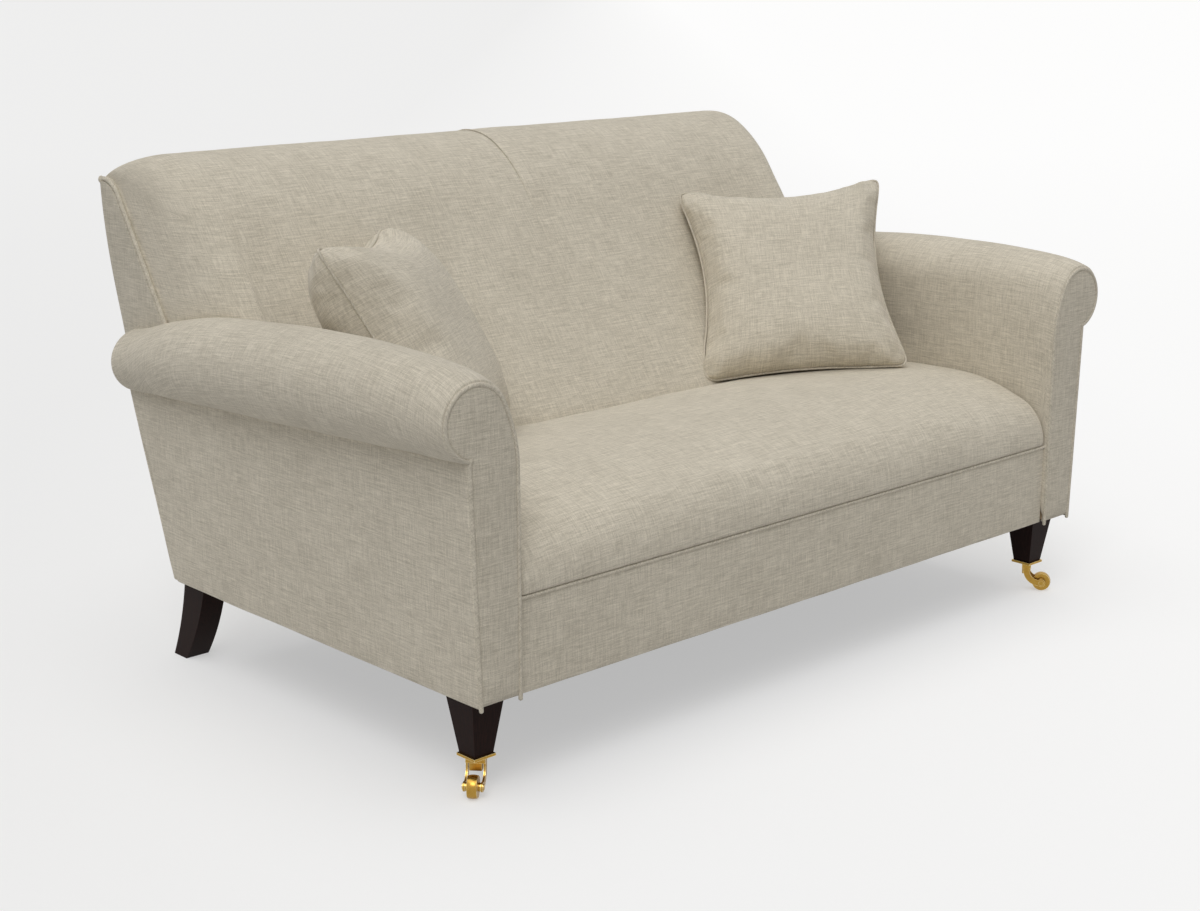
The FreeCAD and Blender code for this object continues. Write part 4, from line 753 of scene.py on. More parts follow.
def woven(name, light, dark, threads, relief=0.5):
    """An open plain weave on flat goods: dust cover, hessian or webbing."""
    n = Nodes(name)
    place = n.add("ShaderNodeTexCoord").outputs["Object"]
    split = n.add("ShaderNodeSeparateXYZ", {0: place})
    pitch = math.tau * threads
    first = n.math("SINE", n.math("MULTIPLY", split.outputs[0], pitch))
    second = n.math("SINE", n.math("MULTIPLY", n.math("ADD", split.outputs[1], split.outputs[2]), pitch))
    plain = n.math("MULTIPLY", first, second)
    uneven = n.noise(n.stretched(place, 60.0, 60.0, 60.0), 1.0, 4.0, 0.6)
    hairs = n.noise(n.stretched(place, 900.0, 900.0, 900.0), 1.0, 2.0)
    cloudy = n.math("ADD", n.math("MULTIPLY", uneven, 0.5), n.math("MULTIPLY", hairs, 0.4))
    share = n.math("ADD", n.math("MULTIPLY", plain, 0.25), cloudy)
    height = n.math("ADD", plain, hairs)
    return n.finish({
        "Base Color": n.mix(n.add("ShaderNodeClamp", {0: share}).outputs[0], rgba(dark), rgba(light)),
        "Roughness": 0.9, "Specular IOR Level": 0.2, "Normal": n.bump(height, relief, 0.4 * MM),
    })


def zinc_steel():
    """Zinc plated steel with a faint spangle."""
    n = Nodes("zinc_steel")
    place = n.add("ShaderNodeTexCoord").outputs["Object"]
    spangle = n.noise(n.stretched(place, 260.0, 260.0, 260.0), 1.0, 3.0)
    paint = n.mix(spangle, (0.36, 0.36, 0.37, 1.0), (0.56, 0.56, 0.57, 1.0))
    return n.finish({
        "Base Color": paint, "Metallic": 1.0, "Roughness": n.ramp(spangle, 0.3, 0.7, 0.3, 0.5),
        "Normal": n.bump(spangle, 0.1, 0.1 * MM),
    })


# Arms


def arm_stations():
    """Depths of the rows of an arm cover, closer together at both ends."""
    a = arms()
    front = [0.001, 0.0025, 0.0045, 0.007, 0.011, 0.017, 0.026, 0.040]
    middle = spaced(0.06, a.roll_end - a.dome, 40)
    rear = [a.roll_end - a.dome * (1 - math.sin(t)) for t in spaced(0.2, math.pi / 2, 8)]
    return front + middle + rear


def arm_row(depth):
    """Closed section of the arm cover: inside arm, inner curve, roll, crease and the hidden side."""
    a = arms()
    draw = a.tuck * quarter_round(depth, 6 * MM) / (6 * MM)
    draw += quarter_round(a.roll_end - depth, a.dome)
    circle = circle_through(roll_top(depth), crease_z(depth))
    centre, big, meet = inner_curve(circle)
    cx, cz, radius = circle
    foot = a.base + 1 * MM if depth < 0.014 else seat().seam - 20 * MM
    wall = [(a.inner + draw, z) for z in spaced(foot, a.straight, 10)[:-1]]
    curve = arc_points(centre, a.straight, big - draw, math.pi, meet, 12)[:-1]
    crease_turn = math.atan2(crease_z(depth) - cz, a.crease_offset)
    roll = arc_points(cx, cz, radius - draw, meet, crease_turn, 34)
    last = roll[-1]
    shelf = [(last[0] - 6 * MM, last[1] + 2.5 * MM), (last[0] - 14 * MM, last[1] + 3 * MM)]
    hidden = a.inner + 0.052
    closing = [(hidden, last[1] + 2 * MM), (hidden, foot)]
    return [inside_rear(at(x, depth, z)) for x, z in wall + curve + roll + shelf + closing]


def inside_rear(point):
    """Keep a point of an arm cover in front of the outside back."""
    if point.x < high("outside_back", 0):
        point.y = min(point.y, at(0, outside_depth(point.z) - 12 * MM, 0).y)
    return point


def arm_lay(rows):
    """Lay the arm's cloth by its depth and by the way round from the top of the roll."""
    top = max(range(len(rows[0])), key=lambda j: rows[20][j].z)
    round_it = measured([row[top:] + row[:top] for row in rows])
    count = len(rows[0])

    def place(i, j, point):
        length, _ = round_it(i, (j - top) % count, point)
        whole, _ = round_it(i, count, point)
        return (length if j >= top else length - whole, point.y)

    return place


def gathered_end(row):
    """The cloth folded in over the rear end of the roll, in small pleats round its middle."""
    cx, cz, radius = circle_through(roll_top(arms().roll_end), crease_z(arms().roll_end))
    middle = at(cx - 0.01, arms().roll_end, cz)
    rings = []
    for share in (0.92, 0.8, 0.62, 0.42, 0.22, 0.08):
        ring = []
        for index, point in enumerate(row):
            pleat = 1.4 * MM * math.sin(math.tau * index / 5) * math.sin(math.pi * share)
            swell = Vector((0, pleat + 3 * MM * (1 - share), 0))
            ring.append(inside_rear(middle.lerp(point, share) + swell))
        rings.append(ring)
    return rings


class SOFA_OT_arm_covers(bpy.types.Operator):
    """Make the padded arm covers: inside arm and roll in one piece of linen"""

    bl_idname = "sofa.arm_covers"
    bl_label = "Arm Covers"

    def execute(self, context):
        for number, (side, sign) in enumerate(SIDES):
            rows = [arm_row(depth) for depth in arm_stations()]
            rows += gathered_end(rows[-1])
            name = "arm_cover_" + side
            cover = skin(name, rows, around=True, caps=True, mirror=sign, lay=arm_lay(rows))
            # Painted light and shade: the right arm's cloth is made lighter and the left arm's darker,
            # standing in for how the light falls on them
            cloth = linen("linen_arm_" + side, tone=1.03 if sign > 0 else 0.955)
            ripple(cover, 1.6 * MM, 9.0, 3.0 + number, away_from_front)
            dress(cover, cloth, ["arm_pad_" + side])
        return {"FINISHED"}


def away_from_front(point):
    """Ripples fade out towards the front piping."""
    return min(max((point.y - FRONT - 0.006) / 0.05, 0.0), 1.0)


def panel_rows(place, columns, rows, fold, thick, width, height):
    """Rows of a panel over u and v from 0 to 1 with rounded edges that fold back by its thickness.

    place gives the point for u and v, and the direction in which the panel faces."""
    result = []
    for v in edge_spread(rows, fold / height):
        line = []
        for u in edge_spread(columns, fold / width):
            point, facing = place(min(max(u, 0.0), 1.0), min(max(v, 0.0), 1.0))
            inset = min(u * width, (1 - u) * width, v * height, (1 - v) * height)
            drop = thick if inset < -1e-6 else min(quarter_round(inset, fold), thick)
            line.append(point - facing * drop)
        result.append(line)
    return result


def edge_spread(count, edge):
    """Places from 0 to 1, close together in the folds at both ends, and one step past each end."""
    near = [edge * (1 - math.cos(t)) for t in (0.0, 0.45, 0.8, 1.15, math.pi / 2)]
    middle = spaced(edge, 1 - edge, count)[1:-1]
    return [-0.01] + near + middle + [1 - e for e in reversed(near)] + [1.01]


class SOFA_OT_outside_arms(bpy.types.Operator):
    """Make the outside arm panels, from the crease under the roll to the underside"""

    bl_idname = "sofa.outside_arms"
    bl_label = "Outside Arms"

    def execute(self, context):
        cloth = linen("linen_outside", along="U")
        a = arms()
        start = 0.0015
        corner = 0.020
        span = outside_depth(a.base) - start

        def place(u, v):
            depth = start + u * span
            z = a.base
            for _ in range(4):
                top = crease_z(depth) + 1 * MM
                z = a.base + v * (top - a.base)
                depth = start + u * (outside_depth(z) - start)
            lift = max(corner - (z - a.base), 0.0)
            pull = corner - math.sqrt(max(corner ** 2 - lift ** 2, 0.0))
            depth -= pull * max(1 - (1 - u) * 12, 0.0)
            swell = 2.2 * MM * (1 - (2 * u - 1) ** 6) * (1 - (2 * v - 1) ** 6)
            return at(outer_x(z) + swell, depth, z), Vector((1, 0, 0))

        for number, (side, sign) in enumerate(SIDES):
            rows = panel_rows(place, 44, 26, 2.6 * MM, 7 * MM, span, a.crease - a.base)
            panel = skin("outside_arm_cover_" + side, rows, mirror=sign, lay=flat_from_side)
            ripple(panel, 1.2 * MM, 7.0, 11.0 + number)
            dress(panel, cloth, ["outside_arm_" + side])
        return {"FINISHED"}


def facing_sides(z, inset):
    """Left and right edge of the arm front at a height, drawn in by an inset."""
    a = arms()
    cx, cz, radius = facing_circle()
    centre, big, meet = inner_curve((cx, cz, radius))
    reach = radius - inset
    joint_z = cz + reach * math.sin(meet)
    across = math.sqrt(max(reach ** 2 - (z - cz) ** 2, 0.0))
    if z <= a.straight:
        left = a.inner + inset
    elif z < joint_z:
        left = centre - math.sqrt(max((big - inset) ** 2 - (z - a.straight) ** 2, 0.0))
    else:
        left = cx - across
    right = outer_x(z) - inset / math.cos(a.lean) if z <= notch(inset)[1] else cx + across
    return left, right


def facing_inset(x, z):
    """Distance of a point of the arm front in from the outline of its post and scroll together."""
    a = arms()
    cx, cz, radius = facing_circle()
    centre, big, meet = inner_curve((cx, cz, radius))
    scroll = radius - math.hypot(x - cx, z - cz)
    left = x - a.inner if z <= a.straight else big - math.hypot(x - centre, z - a.straight)
    right = (outer_x(z) - x) * math.cos(a.lean)
    post = min(left, right) if z < cz + radius * math.sin(meet) else -1.0
    return max(scroll, post)


class SOFA_OT_arm_facings(bpy.types.Operator):
    """Make the padded facings on the arm fronts"""

    bl_idname = "sofa.arm_facings"
    bl_label = "Arm Facings"

    def execute(self, context):
        # Painted shade: the facings' cloth is made darker, as the arm fronts fall in shade
        cloth = linen("linen_facing_painted_shade", along="U", tone=0.93)
        a = arms()
        inset = 6 * MM
        fold = 4 * MM
        cx, cz, radius = facing_circle()
        lower = spaced(a.base + 0.5 * MM, notch(inset)[1], 34)
        start = math.asin((notch(inset)[1] - cz) / (radius - inset))
        upper = [cz + (radius - inset) * math.sin(t) for t in spaced(start, math.pi / 2, 30)]
        heights = [lower[0]] + lower + upper[1:]
        shares = [0.5 - 0.5 * math.cos(t) for t in spaced(0.0, math.pi, 27)]
        for number, (side, sign) in enumerate(SIDES):
            rows = []
            for index, z in enumerate(heights):
                left, right = facing_sides(z, inset)
                line = []
                for share in [0.0] + shares + [1.0]:
                    x = left + share * (right - left)
                    inside = facing_inset(x, z) - inset
                    hem = 0.0 if index < 2 else min(z - heights[0], fold)
                    drop = max(quarter_round(inside, fold), quarter_round(hem, fold) * 0.7)
                    swell = 2.6 * MM * min(inside / 0.03, 1.0) * min((z - heights[0]) / 0.02, 1.0)
                    line.append(at(x, drop - 0.6 * MM - max(swell, 0.0), z))
                line[0] = line[0] + Vector((0, 5 * MM, 0))
                line[-1] = line[-1] + Vector((0, 5 * MM, 0))
                rows.append(line)
            rows[0] = [p + Vector((0, 7 * MM, 0.5 * MM)) for p in rows[0]]
            rows = [row[::-1] for row in reversed(rows)]
            facing = skin("arm_facing_cover_" + side, rows, mirror=sign, lay=flat_from_front)
            ripple(facing, 0.7 * MM, 14.0, 21.0 + number)
            dress(facing, cloth, ["arm_facing_" + side])
        return {"FINISHED"}


class SOFA_OT_arm_piping(bpy.types.Operator):
    """Make the piping round the arm fronts"""

    bl_idname = "sofa.arm_piping"
    bl_label = "Arm Piping"

    def execute(self, context):
        # Painted shade: the piping's cloth is darkened to take back the light that the raised cord catches
        # from above
        cloth = linen("linen_arm_piping_painted_shade", bias=True, tone=0.94)
        a = arms()
        inset = a.piping_inset
        cx, cz, radius = facing_circle()
        centre, big, meet = inner_curve((cx, cz, radius))
        notch_x, notch_z = notch(inset)
        tip = a.base - a.tail
        path = [(a.inner + inset, z) for z in spaced(tip, a.straight, 50)[:-1]]
        path += arc_points(centre, a.straight, big - inset, math.pi, meet, 20)[:-1]
        low_turn = math.atan2(notch_z - cz, notch_x - cx)
        path += arc_points(cx, cz, radius - inset, meet, low_turn, 40)
        path.append((notch_x - 5 * MM, notch_z + 0.5 * MM))
        outer = [(notch_x - 4 * MM, notch_z + 4 * MM), (notch_x - 1.5 * MM, notch_z + 1 * MM)]
        outer += [(outer_x(z) - inset, z) for z in spaced(notch_z - 3 * MM, tip, 60)]
        for number, (side, sign) in enumerate(SIDES):
            name = "arm_scroll_piping_" + side
            line = resampled([at(x, a.piping_set, z) for x, z in path], 3 * MM)
            scroll = cord(name, line, a.cord, mirror=sign, seed=31.0 + number)
            dress(scroll, cloth, ["arm_piping_" + side])
            line = resampled([at(x, a.piping_set, z) for x, z in outer], 3 * MM)
            edge = cord("arm_edge_piping_" + side, line, a.cord, mirror=sign, seed=35.0 + number)
            dress(edge, cloth, ["arm_piping_" + side])
        return {"FINISHED"}


# Seat and border


class SOFA_OT_border(bpy.types.Operator):
    """Make the front border and the piping along its top seam"""

    bl_idname = "sofa.border"
    bl_label = "Front Border"

    def execute(self, context):
        s = seat()
        base = arms().base
        reach = arms().inner + 0.6 * MM
        tall = s.seam - base

        def place(u, v):
            x = reach * (2 * u - 1)
            swell = 2.4 * MM * (1 - (2 * u - 1) ** 8) * (1 - (2 * v - 1) ** 4)
            return at(x, s.border_depth + 0.5 * MM - swell, base + v * tall), Vector((0, -1, 0))

        rows = panel_rows(place, 90, 14, 1.6 * MM, 7 * MM, 2 * reach, tall)
        border = skin("border_cover", rows, lay=flat_from_front)
        ripple(border, 0.9 * MM, 12.0, 41.0)
        # Painted shade: the border's cloth is made a little darker, as the front falls in shade
        dress(border, linen("linen_border", along="U", tone=0.985), ["front_border"])
        radius = s.piping
        depth = s.border_depth + 0.9 * MM
        points = [at(x, depth, s.seam - radius + 1.2 * MM) for x in spaced(-reach, reach, 300)]
        piping = cord("border_piping_cord", points, radius, wobble=0.05, seed=43.0)
        # Painted shade: the piping's cloth is darkened to take back the light that the raised cord catches
        # from above
        cloth = linen("linen_border_piping_painted_shade", bias=True, tone=0.96)
        dress(piping, cloth, ["border_piping"])
        return {"FINISHED"}


def seat_line(share):
    """Depth and height along the seat cover, from the seam over the nose to the foot of the back."""
    s = seat()
    crown = s.crown * (1 - abs(share) ** 6)
    full = 1 - abs(share) ** 4
    start = (s.border_depth - 3.5 * MM, s.seam + 2.0 * MM)
    nose = (s.border_depth + 0.010 - s.fullness / 4 * full, s.seam + s.nose_height)
    shoulder_depth = s.shoulder_depth - s.fullness * full
    shoulder = (shoulder_depth, s.seam + s.shoulder_height - 2 * MM + 0.4 * crown)
    slope = ((shoulder_depth + s.top_depth) / 2, s.seam + s.top_height - 8 * MM + 0.75 * crown)
    top = (s.top_depth, s.seam + s.top_height + crown)
    rear_z = s.seam + s.rear_height
    rear = (inside_depth(rear_z) - 0.6 * MM, rear_z)
    settle = ((s.top_depth + s.depth) / 2, s.seam + s.top_height - 3 * MM + 0.8 * crown)
    line = arc_through(start, nose, shoulder, 14)[:-1]
    line += arc_through(shoulder, slope, top, 12)[:-1]
    line += arc_through(top, settle, rear, 22)
    return line


def line_normals(line):
    """Outward directions along an open line of depths and heights."""
    result = []
    for i in range(len(line)):
        a = line[max(i - 1, 0)]
        b = line[min(i + 1, len(line) - 1)]
        run, rise = b[0] - a[0], b[1] - a[1]
        size = math.hypot(run, rise)
        result.append((-rise / size, run / size))
    return result


class SOFA_OT_seat(bpy.types.Operator):
    """Make the tight sprung seat with its rolled front edge"""

    bl_idname = "sofa.seat"
    bl_label = "Seat"

    def execute(self, context):
        s = seat()
        edge = s.edge
        near = [edge * (1 - math.cos(t)) for t in (0.0, 0.35, 0.65, 0.95, 1.25, math.pi / 2)]
        half = s.reach
        positive = spaced(0.0, half - edge, 34) + [half - e for e in reversed(near[:-1])]
        xs = [-x for x in reversed(positive[1:])] + positive
        columns = [(-half, True)] + [(x, False) for x in xs] + [(half, True)]
        rows = []
        for x, buried in columns:
            line = seat_line(x / half)
            normals = line_normals(line)
            drop = quarter_round(half - abs(x), edge) * 0.8
            sink = drop + (22 * MM if buried else 0.0)
            points = [(p[0] - n[0] * sink, p[1] - n[1] * sink) for p, n in zip(line, normals)]
            points[-1] = (points[-1][0], points[-1][1] - 6 * MM)
            points[-2] = (points[-2][0], points[-2][1] - 1.5 * MM)
            d, z = points[0]
            points = [(d + 13 * MM, z - 1.0 * MM), (d + 4 * MM, z + 0.2 * MM)] + points
            d, z = points[-1]
            points += [(d - 4 * MM, z - 12 * MM), (d - 10 * MM, z - 26 * MM)]
            rows.append([at(x, d, z) for d, z in points])
        cover = skin("seat_cover", [row[::-1] for row in rows])
        ripple(cover, 2.2 * MM, 6.0, 51.0, inside_seat)
        ripple(cover, 0.8 * MM, 22.0, 52.0, inside_seat)
        dress(cover, linen("linen_seat"), ["seat_pad"])
        return {"FINISHED"}


def inside_seat(point):
    """Ripples fade out at the arms and the front seam."""
    side = (seat().reach - abs(point.x)) / 0.06
    front = (point.z - seat().seam) / 0.03
    return min(max(min(side, front), 0.0), 1.0)


# Back


def back_line(x):
    """Depth and height up the inside back at a distance from the middle, and its foot height."""
    a, b = arms(), back()
    full, end = back_curve(), end_curve()
    out = abs(x) - a.inner + 0.3 * MM
    share = 1.0
    turning = (out + b.wing_start) / (b.wing + b.wing_start)
    if turning > 0:
        share = (1 - min(turning, 1.0) ** b.wing_power) ** b.wing_close
    points = [(e[0] + share * (f[0] - e[0]), e[1] + share * (f[1] - e[1])) for f, e in zip(full, end)]
    bottom = seat().seam + seat().rear_height - 26 * MM
    depth = foot_depth(share, bottom)
    if out > 0:
        for _ in range(5):
            bottom = arm_surface_z(abs(x), depth) - 14 * MM
            depth = foot_depth(share, bottom)
    foot = (depth, bottom)
    line = [(foot[0] + (points[0][0] - foot[0]) * t, foot[1] + (points[0][1] - foot[1]) * t)
            for t in spaced(0.0, 1.0, 40)[:-1]]
    line += arc_through(*points[0:3], 12)[:-1]
    line += arc_through(*points[2:5], 12)[:-1]
    line += arc_through(*points[4:7], 12)
    return line


def foot_depth(share, z):
    """Depth of the inside back low down, between its full and its end profile."""
    end = end_front(z)
    return end + share * (inside_depth(z) - end)


def back_draw(x, z, depth):
    """How far the inside back is drawn in: at the centre seam, along the arms and at the seat."""
    b = back()
    draw = b.seam_pull * math.exp(-(x / b.seam_width) ** 2) * min(max((z - 0.45) / 0.4, 0.25), 1.0)
    draw += 0.7 * MM * math.exp(-(x / 0.022) ** 2)
    side = arms().inner - abs(x)
    if side > 0 and z < arms().straight:
        draw += quarter_round(side, 0.014) * 0.8
    seat_top = seat().seam + seat().rear_height
    if abs(x) < arms().inner:
        draw += quarter_round(max(z - seat_top, 0.0), 0.004) * 0.5
    else:
        above = z - arm_surface_z(abs(x), depth)
        draw += quarter_round(max(above, 0.0), 0.012) * 0.6
    return draw


class SOFA_OT_inside_back(bpy.types.Operator):
    """Make the tight inside back with its centre seam and rounded ends"""

    bl_idname = "sofa.inside_back"
    bl_label = "Inside Back"

    def execute(self, context):
        a, b = arms(), back()
        seam = [0.0, 1.0 * MM, 2.0 * MM, 3.2 * MM, 4.8 * MM, 7 * MM, 10 * MM, 15 * MM, 22 * MM, 32 * MM]
        middle = spaced(0.045, a.inner - 0.02, 36)
        near = [a.inner - e for e in (0.014, 0.009, 0.005, 0.0025, 0.0012)]
        ends = [a.inner + b.wing * math.sin(t) for t in spaced(0.012, math.pi / 2, 22)]
        right = seam + middle + near + ends
        columns = [-x for x in reversed(right[1:])] + right
        rows = []
        for x in columns:
            line = back_line(x)
            normals = line_normals(line)
            row = []
            for (depth, z), (nd, nz) in zip(line, normals):
                draw = back_draw(x, z, depth)
                row.append(at(x, depth - nd * draw, z - nz * draw))
            row.append(row[-1] + Vector((0, -3 * MM, -6 * MM)))
            rows.append(row)
        rows = tucked_ends(rows[0])[::-1] + rows + tucked_ends(rows[-1])
        rows = [row[::-1] for row in rows]
        cover = skin("inside_back_cover", rows, lay=back_lay(rows))
        ripple(cover, 2.4 * MM, 5.0, 61.0, inside_back_share)
        ripple(cover, 0.7 * MM, 20.0, 62.0, inside_back_share)
        nodes = [name + side for name in ("inside_back_", "back_wing_") for side, sign in SIDES]
        dress(cover, linen("linen_back"), nodes)
        welt = cord("centre_seam_welt", centre_welt(), b.welt, sides=10, wobble=0.15, seed=65.0)
        dress(welt, linen("linen_piping", bias=True), [])
        return {"FINISHED"}


def back_lay(rows):
    """Lay the back's cloth level: by height low down and by the middle's length over the top."""
    middle = rows[len(rows) // 2]
    lengths = measured([middle, middle])
    rising = [j for j, point in enumerate(middle) if point.z >= back().straight and point.y < middle[0].y]
    start = max(j for j in rising if j < len(middle) - 10)
    widths = [0.0]
    for before, after in zip(rows, rows[1:]):
        widths.append(widths[-1] + (after[start] - before[start]).length)

    def place(i, j, point):
        if j <= start:
            return (-lengths(0, j, point)[0], widths[i])
        drop = (middle[start].z - point.z) / math.cos(back().rake)
        return (-lengths(0, start, point)[0] - drop, widths[i])

    return place


def tucked_ends(row):
    """The edge of the back cover turned in behind the piping of the side panel."""
    way = math.copysign(1, row[0].x)
    turned = []
    for out, behind in ((1.2 * MM, 1.2 * MM), (2.4 * MM, 4 * MM), (2.4 * MM, 9 * MM)):
        turned.append([p + Vector((way * out, behind * 0.85, -behind * 0.5)) for p in row])
    return turned


def centre_welt():
    """Path of the sewn welt down the middle of the back, proudest over the top."""
    line = back_line(0.0)
    path = []
    for (depth, z), (nd, nz) in zip(line, line_normals(line)):
        rise = 2.6 * MM * min(max((z - 0.80) / 0.10, 0.0), 1.0) - 2.4 * MM
        path.append(at(0.0, depth + nd * rise, z + nz * rise))
    return [p for p in resampled(path, 3 * MM) if p.z > seat().seam + seat().rear_height - 10 * MM]


def inside_back_share(point):
    """Ripples fade out at the centre seam and at the ends."""
    side = (arms().inner + back().wing - abs(point.x)) / 0.06
    middle = abs(point.x) / 0.03
    return min(max(min(side, middle), 0.0), 1.0)


class SOFA_OT_back_sides(bpy.types.Operator):
    """Make the side panels of the back and the piping up their front edges"""

    bl_idname = "sofa.back_sides"
    bl_label = "Back Sides"

    def execute(self, context):
        a, b = arms(), back()
        inset = 7.5 * MM
        face = a.inner + a.width
        top = b.end_top - inset

        def foot_z(depth):
            kept = min(depth, a.roll_end)
            return max(crease_z(kept), arm_surface_z(face - 1 * MM, kept) - 12 * MM)

        def place(u, v):
            depth = 0.9
            z = 0.7
            for _ in range(6):
                z = foot_z(depth) + (top - foot_z(depth)) * math.sin(v * math.pi / 2)
                front = end_front(z, inset)
                depth = front + u * (outside_depth(z) - front)
            # The lowest rows drop behind the rounded end of the roll, where they would leave a hole
            drop = min(max((depth - a.roll_end + a.dome + 14 * MM) / (7 * MM), 0.0), 1.0)
            z += (crease_z(a.roll_end) - 20 * MM - z) * drop * max(1 - v / 0.02, 0.0)
            depth = front + u * (outside_depth(z) - front)
            swell = 1.2 * MM * (1 - (2 * u - 1) ** 4) * (1 - (2 * v - 1) ** 4)
            return at(face + swell, depth, z), Vector((1, 0, 0))

        behind = b.piping - b.piping_sunk
        points = end_curve(behind)
        base = end_curve()[0]
        shift = behind / math.cos(b.end_rake) - (base[1] - b.piping_foot) * math.tan(b.end_rake)
        start = (base[0] + shift, b.piping_foot)
        line = [start] + arc_through(points[0], points[2], points[4], 24)
        line.append((b.rear - 1 * MM, points[4][1] - 0.6 * MM))
        x = face - b.piping + 0.5 * MM
        # Painted shade: the piping's cloth is darkened to take back the light that the raised cord catches
        # from above
        cloth = linen("linen_back_piping_painted_shade", bias=True, tone=0.95)
        # Painted shade: the side panels' cloth is made darker, as if in the shade of the back's overhang
        shaded = linen("linen_back_side_painted_shade", along="U", tone=0.87)
        for number, (side, sign) in enumerate(SIDES):
            rows = panel_rows(place, 24, 30, 3 * MM, 8 * MM, 0.16, 0.25)
            panel = skin("back_side_cover_" + side, rows, mirror=sign, lay=flat_from_side)
            ripple(panel, 0.8 * MM, 12.0, 71.0 + number)
            dress(panel, shaded, ["back_side_panel_" + side])
            path = resampled([at(x, d, z) for d, z in line], 3 * MM)
            name = "back_edge_piping_" + side
            piping = cord(name, path, b.piping, mirror=sign, seed=75.0 + number)
            dress(piping, cloth, ["back_piping_" + side])
            corner = at(x + 1 * MM, b.rear, points[4][1] - 2 * MM)
            knob = corner_knob("back_corner_knob_" + side, corner, sign)
            dress(knob, cloth, ["back_piping_" + side])
        return {"FINISHED"}


def corner_knob(name, centre, sign):
    """The folded end of the piping at the top rear corner, a small rounded lump."""
    rings = []
    for polar in spaced(0.12, math.pi - 0.12, 9):
        ring = []
        for turn in [math.tau * k / 14 for k in range(14)]:
            lump = 1 + 0.12 * noise.noise(Vector((math.cos(turn), math.sin(turn), polar)) * 1.7)
            x = 5.4 * MM * math.sin(polar) * math.cos(turn) * lump
            y = 5.6 * MM * math.sin(polar) * math.sin(turn) * lump
            z = 7.0 * MM * math.cos(polar) * lump
            ring.append(centre + Vector((x, y, z)))
        rings.append(ring)
    return skin(name, rings[::-1], around=True, caps=True, mirror=sign)


def rear_half_width(z):
    """Half width of the outside back: out to the leaning arms, then in to the side panels above them."""
    a = arms()
    share = min(max((z - crease_z(a.roll_end)) / (45 * MM), 0.0), 1.0)
    share *= share * (3 - 2 * share)
    return outer_x(z) * (1 - share) + (a.inner + a.width) * share - 0.6 * MM


class SOFA_OT_outside_back(bpy.types.Operator):
    """Make the outside back panel"""

    bl_idname = "sofa.outside_back"
    bl_label = "Outside Back"

    def execute(self, context):
        b = back()
        foot = low("outside_back", 2)

        def place(u, v):
            z = foot + v * (b.seam - foot)
            swell = 2.0 * MM * (1 - (2 * u - 1) ** 8) * (1 - (2 * v - 1) ** 6)
            return at(rear_half_width(z) * (1 - 2 * u), outside_depth(z) + swell, z), Vector((0, 1, 0))

        rows = panel_rows(place, 80, 56, 3 * MM, 9 * MM, 2 * rear_half_width(foot), b.seam - foot)
        panel = skin("outside_back_cover", rows, lay=flat_from_front)
        ripple(panel, 1.6 * MM, 6.0, 81.0)
        dress(panel, linen("linen_rear", along="U"), ["outside_back"])
        return {"FINISHED"}


# Scatter cushions


def cushion_matrix(lean, shift):
    """Place of a cushion as if on the right: seam plane in X and Y, front along Z."""
    c = cushions()
    flat = math.cos(lean)
    normal = Vector((-math.sin(c.turn) * flat, -math.cos(c.turn) * flat, math.sin(lean)))
    level = Vector((math.cos(c.turn), -math.sin(c.turn), 0.0))
    up = normal.cross(level)
    z = seat().seam + seat().top_height + c.lift
    centre = at(arms().inner - c.from_arm, inside_depth(z) - c.from_back, z) + Vector(shift)
    basis = Matrix((level, up, normal)).transposed().to_4x4()
    return Matrix.Translation(centre) @ basis @ Matrix.Rotation(c.tip, 4, "Z")


def seam_place(s, t):
    """Flat place of a point of the cloth: sides drawn in, corners rounded to ears."""
    c = cushions()
    half = c.side / 2
    x = s * (1 - (1 - c.drawn) * (1 - t * t))
    y = t * (1 - (1 - c.drawn) * (1 - s * s) * (1 if t > 0 else c.rested))
    big, small = max(abs(s), abs(t)), min(abs(s), abs(t))
    near_corner = (small / big) ** 9 * big ** 5 if big else 0.0
    cut = (math.sqrt(2) - 1) * c.ear / (half * math.sqrt(2)) * near_corner
    return Vector((x * half * (1 - cut), y * half * (1 - cut), 0.0))


